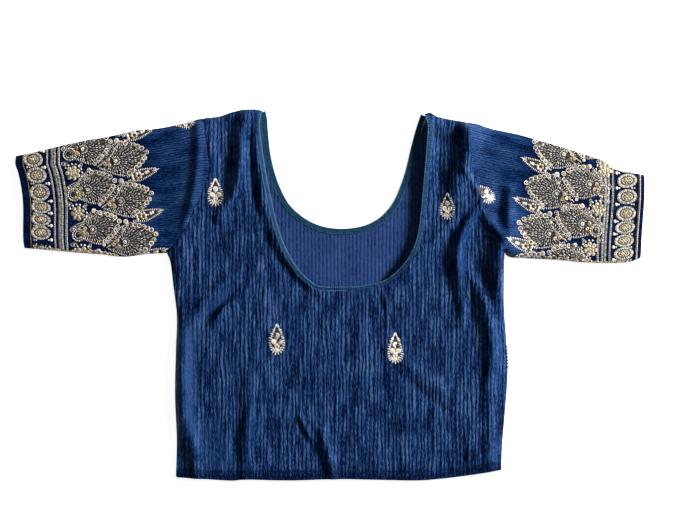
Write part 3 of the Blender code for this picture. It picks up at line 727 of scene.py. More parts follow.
def stitch_points(values, rng, slot):
    """Points of stitches from their ends and widths."""
    a, b, half = values[:, :2], values[:, 2:4], values[:, 4:5] / 2
    along = b - a
    long = np.linalg.norm(along, axis=1, keepdims=True) + 1e-9
    side = np.column_stack([-along[:, 1], along[:, 0]]) / long * half
    rise = np.minimum(half[:, 0] * rng.uniform(1.1, 1.7, len(values)), THREAD_RISE.get(slot, MOST_RISE))
    rows = [(a, 0 * rise)]
    for share in STITCH_ROWS:
        p = a + along * share
        rows += [(p + side, 0 * rise), (p, rise), (p - side, 0 * rise)]
    rows.append((b, 0 * rise))
    return np.stack([np.column_stack([p, h]) for p, h in rows], axis=1)


def ring_points(values, rng, slot):
    """Points of sequins and coils from their centres and their outer and inner radii."""
    centre, outer, inner = values[:, None, :2], values[:, 2], values[:, 3]
    tilt = rng.normal(0, RING_TILT, (len(values), 2))
    rows = []
    for share, level in RING_SECTION:
        flat = circle_of(RING_SIDES)[None] * (inner + (outer - inner) * share)[:, None, None]
        rise = level + (flat * tilt[:, None]).sum(axis=2)
        rows.append(np.concatenate([centre + flat, rise[..., None]], axis=2))
    return np.concatenate(rows, axis=1)


def bead_points(values, rng, slot):
    """Points of beads from their centres and radii."""
    centre, radius = values[:, None, :2], values[:, 2, None, None]
    height = np.minimum(radius, TALLEST_BEAD)
    rows = []
    for share, level in BEAD_SECTION:
        flat = circle_of(BEAD_SIDES)[None] * radius * share
        rise = np.broadcast_to(height * level, (len(values), BEAD_SIDES, 1))
        rows.append(np.concatenate([centre + flat, rise], axis=2))
    rows.append(np.concatenate([centre, height * BEAD_TOP], axis=2))
    return np.concatenate(rows, axis=1)


# How each kind of item is made: its points, and its faces among them
BEAD_RIM = (len(BEAD_SECTION) - 1) * BEAD_SIDES
BEAD_CAP = [(BEAD_RIM + k, BEAD_RIM + (k + 1) % BEAD_SIDES, BEAD_RIM + BEAD_SIDES) for k in range(BEAD_SIDES)]
ITEM_KINDS = {
    "stitch": (stitch_points, STITCH_FACES),
    "ring": (ring_points, bands_between(len(RING_SECTION), RING_SIDES)),
    "bead": (bead_points, bands_between(len(BEAD_SECTION), BEAD_SIDES) + BEAD_CAP),
}


def everywhere(x, y):
    """Keeps all the work."""
    return np.ones(len(x), bool)


class Work:
    """Thread, sequins and beads, gathered as numbers and built as one mesh for each material."""

    def __init__(self):
        self.items = {}

    def add(self, kind, slot, centre, *values):
        self.items.setdefault((kind, slot), []).append((*centre, *values))

    def stitch(self, slot, a, b, width=0.8):
        self.add("stitch", slot, np.add(a, b) / 2, *a, *b, width)

    def ring(self, slot, centre, outer, inner=0.45):
        self.add("ring", slot, centre, *centre, outer, outer * inner)

    def bead(self, slot, centre, radius):
        self.add("bead", slot, centre, *centre, radius)

    def chain(self, slot, line, width=0.9, length=1.8):
        """Stitches end to end along a line."""
        points = evenly(line, length)
        for a, b in zip(points, points[1:]):
            self.stitch(slot, a, b + (b - a) * 0.15, width)

    def comb(self, slot, line, length, spacing=1.3, width=0.65, side=1, uneven=0.0):
        """Short stitches that stand across a line."""
        points = evenly(line, spacing)
        for p, n in zip(points, left_normals(points)):
            out = n * side * (1 + uneven * work_rng.uniform(-1, 1))
            lean = np.array([-n[1], n[0]]) * length * uneven * work_rng.uniform(-0.6, 0.6)
            self.stitch(slot, p - n * 0.3 * side, p + out * length + lean, width)

    def build(self, prefix, materials, lay, keep):
        """Makes the meshes. lay puts flat points on the cloth, and keep says which items stay."""
        for slot, material in materials.items():
            groups, faces, count = [], [], 0
            rng = np.random.default_rng(7)
            for kind, (points_of, pattern) in ITEM_KINDS.items():
                items = np.array(self.items.get((kind, slot), np.empty((0, 2))), float)
                items = items[keep(*items[:, :2].T)]
                if len(items):
                    block = points_of(items[:, 2:], rng, slot)
                    groups.append(block.reshape(-1, 3))
                    firsts = count + block.shape[1] * np.arange(len(items))
                    faces += [tuple(first + k for k in face) for first in firsts for face in pattern]
                    count += block.shape[1] * len(items)
            if groups:
                new_mesh(prefix + "_" + slot, lay(np.concatenate(groups)), faces, material)


# Half widths along a motif from its base to its tip, as shares of its length and half width
DROP_HALF_WIDTHS = (
    (0.02, 0.1), (0.05, 0.45), (0.12, 0.76), (0.25, 0.97), (0.36, 1.0), (0.5, 0.88), (0.7, 0.54),
    (0.85, 0.27), (0.97, 0.03),
)
TIP_HALF_WIDTHS = ((0.05, 0.3), (0.2, 0.75), (0.35, 1.0), (0.5, 0.93), (0.7, 0.62), (0.88, 0.28), (1.0, 0.02))
LEAF_HALF_WIDTHS = (
    (0, 0.06), (0.06, 0.2), (0.15, 0.42), (0.25, 0.66), (0.35, 0.88), (0.45, 1.0), (0.55, 0.97), (0.65, 0.85),
    (0.75, 0.68), (0.85, 0.46), (0.93, 0.22), (0.97, 0.0),
)
# Stitches inside a drop: where each starts and ends along it, then across it
DROP_STITCHES = (
    (0.46, 0.56, 0.0, 0.0), (0.16, 0.34, 0.05, 0.14), (0.16, 0.34, -0.05, -0.14), (0.07, 0.26, 0.1, 0.26),
    (0.07, 0.26, -0.1, -0.26), (0.03, 0.24, 0.0, 0.0), (0.06, 0.2, 0.04, 0.1), (0.06, 0.2, -0.04, -0.1),
    (0.74, 0.88, 0.21, 0.1), (0.74, 0.88, -0.21, -0.1), (0.85, 1.02, 0.12, 0.0), (0.85, 1.02, -0.12, 0.0),
)
# Round parts of a drop, a tip and a leaf: where along, where across, and the radius
DROP_COILS = ((0.62, 0.0, 0.17), (0.42, 0.17, 0.17), (0.41, -0.18, 0.16), (0.31, 0.0, 0.11))
TIP_BEADS = ((0.62, 0.04, 2.0), (0.69, 0.06, 1.8), (0.15, 0.12, 1.8), (0.15, -0.12, 1.8), (0.52, 0.0, 1.0))
LEAF_COILS = ((0.21, 0.085, 2.3), (0.21, -0.085, 2.3), (0.135, 0.0, 2.3))
# Where a medallion's inner spokes start and end, then its rim's, as shares of its half sizes
MEDALLION_REACHES = (0.36, 0.62, 0.66, 1.02)
# A leaf's rays stand in rings round its heart
RAY_STEP = 3.5
RAY_SPACING = 2.15
# Where the spikes of a drop stop, short of its tip, and how many points its edge has to each side
DROP_RIM_END = 0.82
DROP_RIM_POINTS = 42


def turned(points, base, angle):
    """Points along and across a motif, in degrees from +X, put at its base."""
    c, s = math.cos(math.radians(angle)), math.sin(math.radians(angle))
    return np.asarray(points, float) @ np.array([[c, s], [-s, c]]) + np.asarray(base, float)


def spot(base, angle, along, across=0.0):
    """One point of a motif."""
    return turned([[along, across]], base, angle)[0]


def around(centre, angle, q, reach, reach_across=None):
    """The point of a motif's circle or ellipse at q radians."""
    return spot(centre, angle, math.cos(q) * reach, math.sin(q) * (reach_across or reach))


def ellipse(start, end, count, reach, reach_across=None):
    """An arc of a circle or ellipse round a motif's middle, between two angles in degrees."""
    q = np.radians(np.linspace(start, end, count))
    return np.column_stack([np.cos(q) * reach, np.sin(q) * (reach_across or reach)])


def coil(work, centre, radius, slot="cream"):
    """A flat round disc of coiled thread."""
    work.ring(slot, centre, radius, 0.3)
    work.ring("gold" if slot == "cream" else "bronze", centre, 0.34 * radius, 0.1)


def drop_motif(work, base, angle, length, width):
    """A drop edged with spikes: a coil in its tip, two below it, and a fan of stitches at its round end."""
    share, half = np.array(DROP_HALF_WIDTHS).T
    up = np.linspace(0.02, DROP_RIM_END, DROP_RIM_POINTS)
    at = np.concatenate([up[::-1], up])
    across = np.interp(at, share, half) * 0.31 * width * np.repeat([1, -1], DROP_RIM_POINTS)
    rim = np.column_stack([length * (0.06 + 0.88 * at), across])
    # Wide dark stitches across the drop, painted shade between its raised parts
    for shade_row in (-0.24, -0.08, 0.08, 0.24):
        a, b = turned([[0.1 * length, shade_row * width], [0.84 * length, shade_row * 0.3 * width]], base, angle)
        work.stitch("brown", a, b, 3.0)
    spikes = turned(rim, base, angle)
    work.comb("cream", spikes, 0.2 * width, 0.125 * width, 0.075 * width, side=-1, uneven=0.22)
    for u, v, radius in DROP_COILS:
        coil(work, spot(base, angle, u * length, v * width), radius * width)
    for start, end, low, high in DROP_STITCHES:
        a, b = turned([[start * length, low * width], [end * length, high * width]], base, angle)
        work.stitch("cream", a, b, 0.1 * width)


def tip_motif(work, base, angle, length, width):
    """A narrow drop beyond the leaves: spiked edges, a small flower and a bead."""
    share, half = np.array(TIP_HALF_WIDTHS).T
    at = np.linspace(0, share[-1], 60)
    right = np.column_stack([at * length, -np.interp(at, share, half) * width / 2 * 0.68])
    rim = np.vstack([right, (right * [1, -1])[::-1]])
    # Wide dark stitches along the tip, painted shade between its raised parts
    for shade_row in (-0.2, 0.2):
        a, b = turned([[0.1 * length, shade_row * width], [0.9 * length, 0.3 * shade_row * width]], base, angle)
        work.stitch("brown", a, b, 4.0)
    work.comb("cream", turned(rim, base, angle), 2.3, 2.0, 1.25, side=-1)
    flower = spot(base, angle, 0.36 * length)
    for q in np.arange(6) * math.pi / 3:
        work.bead("gold" if q > 3 else "cream", around(flower, angle, q, 2.9), 1.75)
    work.ring("brown", flower, 1.5, 0.3)
    for u, v, radius in TIP_BEADS:
        work.bead("cream", spot(base, angle, u * length, v * width), radius)
    work.stitch("cream", spot(base, angle, 0.82 * length), spot(base, angle, 1.1 * length), 1.6)


def leaf_rays(work, base, angle, length, width):
    """Rings of short rays round the heart of a leaf, as far as its edge."""
    share, half = np.array(LEAF_HALF_WIDTHS).T
    heart = np.array([0.35 * length, 0])
    for row, reach in enumerate(np.arange(6.0, 0.64 * length, RAY_STEP)):
        count = max(8, round(2 * math.pi * reach / RAY_SPACING))
        for q in (np.arange(count) + 0.5 * (row % 2)) * 2 * math.pi / count + work_rng.normal(0, 0.03, count):
            out = np.array([math.cos(q), math.sin(q)])
            mid = heart + out * (reach + 1.6)
            room = np.interp(mid[0] / length, share, half, -1, -1) * width / 2 - abs(mid[1])
            if room < (2.8 if mid[0] > 0.55 * length else 0.6) or mid[0] < 0.1 * length:
                continue
            skew = np.array([-out[1], out[0]]) * (0.5 if row % 2 else -0.5)
            start, end = heart + out * reach - skew, heart + out * (reach + RAY_STEP + 0.3) + skew
            a, b = turned([start, end], base, angle)
            draw = work_rng.random()
            work.stitch("silver" if draw < 0.5 else "cream" if draw < 0.85 else "gold", a, b, 0.95)


def leaf_motif(work, base, angle, length, width):
    """A broad pointed leaf: spikes round its lower half, a row of rings round its tip, rays within."""
    share, half = np.array(LEAF_HALF_WIDTHS).T

    def edge(at, side):
        return np.column_stack([at * length, side * np.interp(at, share, half) * width / 2])

    # Rows of dark stitches across the leaf, painted shade between its raised parts
    for along in np.arange(0.12, 0.9, 0.045):
        reach = 0.42 * width * np.interp(along, share, half)
        rows = turned([[along * length, k * reach] for k in (-1, -0.34, 0.34, 1)], base, angle)
        for a, b in zip(rows, rows[1:]):
            work.stitch("brown", a, b + 0.2 * (b - a), 0.07 * length)
    for side in (-1, 1):
        low = turned(edge(np.linspace(0.03, 0.5, 16), side), base, angle)
        work.comb("cream", low, 2.4, 1.9, 0.85, side=side)
        high = turned(edge(np.linspace(0.54, 0.95, 20), side), base, angle)
        for p in point_at(high, np.linspace(0, 1, 7)[:-1]):
            work.ring("cream", p, 2.75, 0.62)
            work.bead("bronze" if work_rng.random() < 0.7 else "gold", p, 1.3)
    tip = spot(base, angle, 0.965 * length)
    work.ring("cream", tip, 2.7, 0.62)
    work.bead("gold", tip, 1.3)
    leaf_rays(work, base, angle, length, width)
    heart = spot(base, angle, 0.35 * length)
    work.comb("cream", turned(ellipse(-125, 125, 18, 3.4), heart, angle), 2.2, 1.5, 1.0, side=-1)
    work.ring("cream", heart, 2.3, 0.4)
    work.bead("sequin", heart, 1.2)
    for u, v, radius in LEAF_COILS:
        coil(work, spot(base, angle, u * length, v * width), radius, "gold")
    work.stitch("gold", spot(base, angle, 0), spot(base, angle, 0.09 * length), 2.0)


def medallion(work, centre, angle, length, width):
    """An oval sun: a middle of gold beads, a ring of spokes and a thick scalloped rim."""
    for k in range(24):
        q = 2 * math.pi * k / 24
        a, b, c, d = (around(centre, angle, q, length / 2 * r, width / 2 * r) for r in MEDALLION_REACHES)
        work.stitch("gold" if k % 2 else "silver", a, b, 1.3)
        work.stitch(("cream", "silver", "cream", "gold")[k % 4], c, d, 1.95)
    oval = ellipse(0, 360, 40, length / 2, width / 2)
    work.chain("silver", turned(oval * 0.98, centre, angle), 1.0, 1.6)
    work.chain("brown", turned(oval * 0.66, centre, angle), 1.5, 1.6)
    for k in range(6):
        work.bead("gold", around(centre, angle, 2 * math.pi * k / 6, length * 0.13, width * 0.15), 1.35)
    work.bead("cream", np.asarray(centre, float), 1.4)


def rosette(work, centre, angle, radius):
    """A full gold flower in the crook of a stem, with a row of pearls over it."""
    for ring, (count, reach, size) in enumerate(((7, 0.78, 0.26), (5, 0.4, 0.22))):
        for k in range(count):
            petal = around(centre, angle, 2 * math.pi * (k + 0.5 * ring) / count, reach * radius)
            work.bead("gold", petal, size * radius)
            work.ring("cream", petal, size * radius * 1.15, 0.75)
    work.bead("cream", np.asarray(centre, float), 0.16 * radius)
    for q in np.radians(np.linspace(-70, 120, 9)):
        slot = "pearl" if work_rng.random() < 0.4 else "cream"
        work.bead(slot, around(centre, angle, q, 1.3 * radius), 1.15)


def crescent(work, centre, angle, radius):
    """A ring at the foot of a leaf, with pearls along one side and petals on the other."""
    work.chain("silver", turned(ellipse(0, 360, 24, 0.62 * radius), centre, angle), 1.2, 1.4)
    work.ring("brown", np.asarray(centre, float), 0.4 * radius, 0.2)
    for slot, size, start, end, count in (("gold", 1.35, 95, 265, 8), ("cream", 1.0, -80, 80, 9)):
        for q in np.radians(np.linspace(start, end, count)):
            work.bead(slot, around(centre, angle, q, radius), size)


def seed(work, centre, angle, radius):
    """A small oval of thread."""
    work.chain("silver", turned(ellipse(0, 360, 12, 1.5 * radius, 0.8 * radius), centre, angle), 1.0, 1.3)
    work.bead("cream", np.asarray(centre, float), 0.45 * radius)


# One repeat of the sleeve pattern. out runs from the cuff to the body and down along the cuff, from
# the foot of the repeat's first leaf
Motif = namedtuple("Motif", "kind out down angle length width")
REPEAT = (
    Motif("leaf", 0, 0, 10, 50.5, 34),
    Motif("leaf", 31.5, 17, 8, 57.5, 35),
    Motif("tip", 63, -9.5, 12, 33, 13.5),
    Motif("rosette", 3.6, 22, 20, 7.6, 0),
    Motif("crescent", 1.6, 1, 150, 6.4, 0),
    Motif("seed", -3.2, -6.6, 20, 2.4, 0),
    Motif("seed", -4.6, 11, -10, 2.4, 0),
    Motif("seed", 12.6, 14.6, 60, 1.9, 0),
    Motif("seed", 15.5, 27.5, 30, 1.9, 0),
    Motif("coil", 21.3, 20.9, 0, 2.7, 0),
    Motif("coil", 54.8, -8.0, 0, 3.0, 0),
    Motif("coil", 51.0, 1.0, 0, 1.6, 0),
    Motif("coil", 28.5, 15.0, 0, 1.9, 0),
)
# Lines of stitches in the same repeat, as pairs of out and down
Stem = namedtuple("Stem", "slot width path")
STEMS = (
    Stem("gold", 1.2, ((-7.4, 39.2), (0.9, 33.9), (10.1, 31.5), (19.7, 27.1), (27.2, 22.3))),
    Stem("silver", 0.9, ((-6.6, 41.4), (1.4, 36.0), (10.6, 33.6), (20.6, 29.0), (28.4, 23.8))),
    Stem("cream", 1.1, ((30.4, 18.5), (39.5, 13.2), (47.5, 7.3), (54.5, -1.5), (57.5, -7.0))),
    Stem("silver", 0.8, ((-2.5, 34.8), (3.0, 33.4), (9.0, 31.0), (12.8, 26.0), (13.4, 21.0))),
)
# Where the repeats start on each sleeve, in plan, and how they step
Repeats = namedtuple("Repeats", "x y step_x step_y first last twist")
SLEEVE_REPEATS = {
    "left": Repeats(-288.0, 155.2, 5.1, -44.3, -3, 4, 0),
    "right": Repeats(301.3, 114.5, -8.0, -43.2, -3, 3, 3),
}
# Where each medallion is along the cuff, and its height
MedallionPlace = namedtuple("MedallionPlace", "y height")
MEDALLIONS = {
    "left": (
        MedallionPlace(183, 15), MedallionPlace(166, 15), MedallionPlace(149, 16.5),
        MedallionPlace(131.5, 17), MedallionPlace(112.6, 18), MedallionPlace(96.4, 12.5),
        MedallionPlace(82.8, 12.5), MedallionPlace(68.5, 15), MedallionPlace(34, 14), MedallionPlace(18, 15),
    ),
    "right": (
        MedallionPlace(158, 15), MedallionPlace(142, 15), MedallionPlace(125.4, 15), MedallionPlace(108, 16),
        MedallionPlace(89.4, 16), MedallionPlace(74, 13.2), MedallionPlace(59.6, 13.2),
        MedallionPlace(45.5, 13), MedallionPlace(30, 15), MedallionPlace(14, 15),
    ),
}
# Pearls and beads between two medallions
Pearl = namedtuple("Pearl", "slot distance radius")
PEARLS = (
    Pearl("pearl", 30.4, 1.9), Pearl("cream", 27.6, 1.1), Pearl("gold", 11.2, 1.3), Pearl("cream", 13.8, 1.0),
)
MEDALLION_DISTANCE = 19
MEDALLION_LENGTH = 21.5
# Distances from the cuff edge of the lines and bands that run round it
CuffLine = namedtuple("CuffLine", "slot distance stitch_width")
CUFF_LINES = (
    CuffLine("silver", 33.9, 1.0), CuffLine("cream", 35.0, 0.8), CuffLine("silver", 46.6, 1.1),
    CuffLine("cream", 47.9, 1.0),
)
EDGE_LINES = {
    "left": (CuffLine("bronze", 7.8, 1.3),),
    "right": (CuffLine("cream", 4.4, 1.2), CuffLine("bronze", 5.8, 1.0)),
}
# Work that rolls over from the underside: how far from the cuff it starts and ends, and its depth
SeamWork = namedtuple("SeamWork", "start end depth")
SEAM_WORK = {"left": SeamWork(10, 92, 5.0), "right": SeamWork(15, 92, 4.0)}
HERRINGBONE = (37.9, 44.2)
HERRINGBONE_STEP = 1.5
CUFF_SPAN = (0, 200)
CUFF_STITCH = 2.0
PICOT_SPACING = 2.1
HEM_STITCH = 3.2

Drop = namedtuple("Drop", "x y angle length width")
BODY_DROPS = (
    Drop(-125.6, 112.8, 90, 30, 18), Drop(128.5, 97.3, 90, 28.5, 16.5), Drop(-58.3, -48.4, 90, 33.5, 19),
    Drop(71.5, -58.3, 90, 34, 18.5),
)
# Where the spikes of a drop that lies underneath show past the right side
EDGE_SPIKES = ((193.3, -57), (194.1, -68), (194.4, -79))
SLEEVE_DROPS = {
    "left": (Drop(-148, 192, 188, 26, 17), Drop(-148.7, 69, 68, 36, 18)),
    "right": (Drop(180.5, 103.5, 145, 32, 16.5),),
}

work_rng = np.random.default_rng(5)


def sleeve_work(side):
    work = Work()
    sleeve = sleeves[side]
    inward = -sleeve.outward
    repeats = SLEEVE_REPEATS[side]
    step = np.array([repeats.step_x, repeats.step_y])
    down = step / np.linalg.norm(step)
    out = np.array([-down[1], down[0]]) * inward
    heading = math.degrees(math.atan2(out[1], out[0]))
    makers = {"leaf": leaf_motif, "tip": tip_motif}
    round_makers = {"rosette": rosette, "crescent": crescent, "seed": seed}
    for k in range(repeats.first, repeats.last + 1):
        start = np.array([repeats.x, repeats.y]) + k * step
        for motif in REPEAT:
            place = start + motif.out * out + motif.down * down
            angle = heading + inward * (motif.angle + repeats.twist) + work_rng.normal(0, 1.0)
            if motif.kind in makers:
                makers[motif.kind](work, place, angle, motif.length, motif.width)
            elif motif.kind == "coil":
                coil(work, place, motif.length)
            else:
                round_makers[motif.kind](work, place, angle, motif.length)
        for stem in STEMS:
            path = [start + o * out + d * down for o, d in stem.path]
            work.chain(stem.slot, smooth_line(path, 1.0), stem.width, 1.7)
    for drop in SLEEVE_DROPS[side]:
        drop_motif(work, (drop.x, drop.y), drop.angle, drop.length, drop.width)
    y = np.arange(*CUFF_SPAN, CUFF_STITCH)
    for line in CUFF_LINES + EDGE_LINES[side]:
        for a, b in zip(y, y[1:] + 0.3):
            work.stitch(line.slot, (sleeve.cuff_x(a) + inward * line.distance, a),
                        (sleeve.cuff_x(b) + inward * line.distance, b), line.stitch_width)
    for level in np.arange(*CUFF_SPAN, HERRINGBONE_STEP):
        edge = sleeve.cuff_x(level)
        near, far = (edge + inward * d for d in HERRINGBONE)
        middle = (near + far) / 2
        work.stitch("silver", (near, level - 1.0), (middle + inward * 0.3, level + 1.0), 0.95)
        work.stitch("cream" if level % 3 < 1.2 else "silver", (middle, level + 1.0), (far, level - 1.0), 0.95)
    rolled = SEAM_WORK[side]
    for distance in np.arange(rolled.start, rolled.end, 1.7):
        x = sleeve.cuff[0, 0] + inward * distance
        depth = rolled.depth * (0.55 + 0.45 * math.sin(distance / 9)) * work_rng.uniform(0.5, 1.0)
        for share in (0.2, 0.65, 1.0):
            y = sleeve.edges_at(x)[1] + 0.6 + share * depth
            slot = ("cream", "bronze", "brown", "silver", "gold")[work_rng.integers(5)]
            work.bead(slot, (x + work_rng.uniform(-0.8, 0.8), y), work_rng.uniform(0.8, 1.4))
    for place in MEDALLIONS[side]:
        edge = sleeve.cuff_x(place.y)
        middle = (edge + inward * MEDALLION_DISTANCE, place.y)
        medallion(work, middle, -8 * inward, MEDALLION_LENGTH, place.height)
        between = place.y - 0.54 * place.height
        for pearl in PEARLS:
            work.bead(pearl.slot, (sleeve.cuff_x(between) + inward * pearl.distance, between), pearl.radius)
    work.build("embroidery_" + side, thread_materials, sleeve.wrap, sleeve.kept)


def body_work(front_outline):
    """The drops scattered over the front."""
    work = Work()
    for drop in BODY_DROPS:
        drop_motif(work, (drop.x, drop.y - drop.length / 2), drop.angle, drop.length, drop.width)

    def lay(points):
        z = FRONT_BASE + lift(points[:, 0], points[:, 1]) + CLOTH + 0.9 * FRONT_CRINKLE + points[:, 2]
        return np.column_stack([points[:, :2], z])

    def on_cloth(x, y):
        return signed_distance(front_outline, x, y) > 0.2

    work.build("embroidery_front", thread_materials, lay, on_cloth)


def neck_stitches():
    """Picot stitches along both edges of the two neck bindings."""
    work = Work()
    for edge, widths, slot, length in (
        (FRONT_NECK_EDGE, FRONT_WIDTHS, "picot", 1.3), (BACK_NECK_EDGE, BACK_WIDTHS, "picot_dark", 1.6),
    ):
        work.comb(slot, offset(edge, 0.16 * widths), length, PICOT_SPACING, 0.95, side=-1)
    for first, last in ((0.5, 0.95), (0.02, 0.12)):
        seam = offset(FRONT_NECK_EDGE, 0.84 * FRONT_WIDTHS)
        work.comb("picot", seam[int(first * len(seam)):int(last * len(seam))], 0.9, PICOT_SPACING, 1.0)
    work.comb("picot_dark", offset(BACK_NECK_EDGE, 0.8 * BACK_WIDTHS), 1.2, PICOT_SPACING, 0.9)

    def lay(points):
        x, y = points[:, 0], points[:, 1]
        on_front = distance_to(FRONT_NECK_EDGE, x, y, 12)[0] < distance_to(BACK_NECK_EDGE, x, y, 12)[0]
        front_z = FRONT_BASE + lift(x, y) + SOLID_WALL * BINDING_TOP
        back_z = np.full(len(x), REST_HEIGHT + SOLID_WALL * BINDING_TOP)
        return np.column_stack([x, y, np.where(on_front, front_z, back_z) + points[:, 2]])

    work.build("neck_stitches", {"picot": picot, "picot_dark": picot_dark}, lay, everywhere)


def hem_stitches():
    """The row of stitches above the hem, dark and nearly joined so that they also paint the shade of its
    stitched groove, and the spikes that show past the right side.
    """
    work = Work()
    line = offset(HEM_CURVE, HEM_DEPTH)[1:-1]
    points = point_at(line, np.linspace(0, 1, round(run_of(line)[-1] / HEM_STITCH)))
    for a, b in zip(points, points[1:]):
        work.stitch("thread", a, a + (b - a) * 0.9, 1.5)
    work.comb("thread", smooth_line(EDGE_SPIKES, 1.0), 2.2, 3.7, 1.5)

    def lay(points):
        z = front_height(points[:, 0], points[:, 1])[0] + 0.15 + points[:, 2]
        return np.column_stack([points[:, :2], z])

    work.build("hem_stitches", {"thread": hem_thread_and_shadow_line}, lay, everywhere)


def principled(name, colour, roughness, metallic=0.0, specular=0.5):
    material = bpy.data.materials.new(name)
    material.use_nodes = True
    shader = material.node_tree.nodes["Principled BSDF"]
    shader.inputs["Base Color"].default_value = colour
    shader.inputs["Roughness"].default_value = roughness
    shader.inputs["Metallic"].default_value = metallic
    shader.inputs["Specular IOR Level"].default_value = specular
    return material, material.node_tree.nodes, material.node_tree.links, shader


def noise_node(nodes, links, coords, scale, detail=2.0):
    node = nodes.new("ShaderNodeTexNoise")
    node.inputs["Scale"].default_value = scale
    node.inputs["Detail"].default_value = detail
    links.new(coords.outputs["Object"], node.inputs["Vector"])
    return node


def ramp_node(nodes, links, source, stops):
    ramp = nodes.new("ShaderNodeValToRGB")
    while len(ramp.color_ramp.elements) < len(stops):
        ramp.color_ramp.elements.new(0.5)
    for element, (position, colour) in zip(ramp.color_ramp.elements, stops):
        element.position = position
        element.color = colour
    links.new(source, ramp.inputs["Fac"])
    return ramp


def math_node(nodes, links, operation, first, second=0.0):
    """A math node from two sockets or numbers."""
    node = nodes.new("ShaderNodeMath")
    node.operation = operation
    for socket, value in zip(node.inputs, (first, second)):
        if isinstance(value, float):
            socket.default_value = value
        else:
            links.new(value, socket)
    return node.outputs["Value"]


def cloth_material(name, colours, roughness, kink_scale, break_scale, kink, broken, relief):
    """Crinkled cloth, kinked and uneven in tone, with a woven grain, whose colour paints shade between its
    ribs, light on their crests and highlights as glints.
    """
    trough, middle, crest, glint = colours
    material, nodes, links, shader = principled(name, crest, roughness, specular=0.04)
    coords = nodes.new("ShaderNodeTexCoord")
    values = []
    for kind in RIB_VALUES:
        node = nodes.new("ShaderNodeAttribute")
        node.attribute_name = kind
        values.append(node.outputs["Fac"])
    phase, strength, calm = values

    def joined(operation, first, second):
        return math_node(nodes, links, operation, first, second)

    def stretched_noise(scale, detail):
        stretch = nodes.new("ShaderNodeMapping")
        stretch.inputs["Scale"].default_value = scale
        links.new(coords.outputs["Object"], stretch.inputs["Vector"])
        node = nodes.new("ShaderNodeTexNoise")
        node.inputs["Scale"].default_value = 1.0
        node.inputs["Detail"].default_value = detail
        links.new(stretch.outputs["Vector"], node.inputs["Vector"])
        return math_node(nodes, links, "SUBTRACT", node.outputs["Fac"], 0.5)

    kinks, breaks = stretched_noise(kink_scale, 2.0), stretched_noise(break_scale, 3.0)
    turn = joined("MULTIPLY", joined("ADD", phase, joined("MULTIPLY", kinks, kink)), math.pi)
    rib = joined("POWER", joined("ABSOLUTE", joined("SINE", turn, 0.0), 0.0), 0.5)
    ribbed_shade = joined("MULTIPLY", rib, joined("ADD", strength, joined("MULTIPLY", breaks, broken)))
    # Where the cloth is pulled smooth its tone is lifted near the crest tone, as painted light
    calm_painted_light = joined("ADD", joined("MULTIPLY", breaks, 1.2), 0.84)
    ribbed_part = joined("MULTIPLY", ribbed_shade, joined("SUBTRACT", 1.0, calm))
    shade = joined("ADD", ribbed_part, joined("MULTIPLY", calm_painted_light, calm))
    # Painted shade in the rib troughs, painted light on the crests, painted highlights at the glint end
    brightest = 1.4
    tones = ((0.14, trough), (0.45, middle), (0.98, crest), (brightest, glint))
    stops = [(at / brightest, colour) for at, colour in tones]
    ramp = ramp_node(nodes, links, joined("MULTIPLY", shade, 1 / brightest), stops)
    links.new(ramp.outputs["Color"], shader.inputs["Base Color"])
    grain = noise_node(nodes, links, coords, 1400, 3.0)
    weave = nodes.new("ShaderNodeTexWave")
    weave.inputs["Scale"].default_value = 420
    weave.inputs["Distortion"].default_value = 2.0
    weave.bands_direction = "Y"
    links.new(coords.outputs["Object"], weave.inputs["Vector"])
    both = math_node(nodes, links, "ADD", grain.outputs["Fac"], weave.outputs["Fac"])
    woven = nodes.new("ShaderNodeBump")
    woven.inputs["Strength"].default_value = 0.35
    woven.inputs["Distance"].default_value = 0.0002
    links.new(both, woven.inputs["Height"])
    ribbed = nodes.new("ShaderNodeBump")
    ribbed.inputs["Strength"].default_value = 1.0
    ribbed.inputs["Distance"].default_value = relief
    links.new(shade, ribbed.inputs["Height"])
    links.new(woven.outputs["Normal"], ribbed.inputs["Normal"])
    links.new(ribbed.outputs["Normal"], shader.inputs["Normal"])
    return material


def band_material(name, colour, edge_colour):
    """Binding cloth with a close crosswise rib."""
    material, nodes, links, shader = principled(name, colour, 0.6, specular=0.05)
    coords = nodes.new("ShaderNodeTexCoord")
    mottled = noise_node(nodes, links, coords, 520, 3.0)
    ramp = ramp_node(nodes, links, mottled.outputs["Fac"], ((0.35, colour), (0.68, edge_colour)))
    links.new(ramp.outputs["Color"], shader.inputs["Base Color"])
    grain = noise_node(nodes, links, coords, 1100, 3.0)
    bump = nodes.new("ShaderNodeBump")
    bump.inputs["Strength"].default_value = 0.6
    bump.inputs["Distance"].default_value = 0.0004
    links.new(grain.outputs["Fac"], bump.inputs["Height"])
    links.new(bump.outputs["Normal"], shader.inputs["Normal"])
    return material


def thread_material(name, dark, light, roughness, metallic, specular=0.5):
    """Thread, sequin or bead: tone that changes from piece to piece, and a twisted grain."""
    material, nodes, links, shader = principled(name, light, roughness, metallic, specular=specular)
    coords = nodes.new("ShaderNodeTexCoord")
    tone = noise_node(nodes, links, coords, 420, 1.0)
    ramp = ramp_node(nodes, links, tone.outputs["Fac"], ((0.35, dark), (0.62, light)))
    links.new(ramp.outputs["Color"], shader.inputs["Base Color"])
    twist = noise_node(nodes, links, coords, 2500, 1.0)
    bump = nodes.new("ShaderNodeBump")
    bump.inputs["Strength"].default_value = 0.4
    bump.inputs["Distance"].default_value = 0.0002
    links.new(twist.outputs["Fac"], bump.inputs["Height"])
    links.new(bump.outputs["Normal"], shader.inputs["Normal"])
    return material


def scaled(colour, factor):
    return tuple(c * factor for c in colour[:3]) + (1.0,)


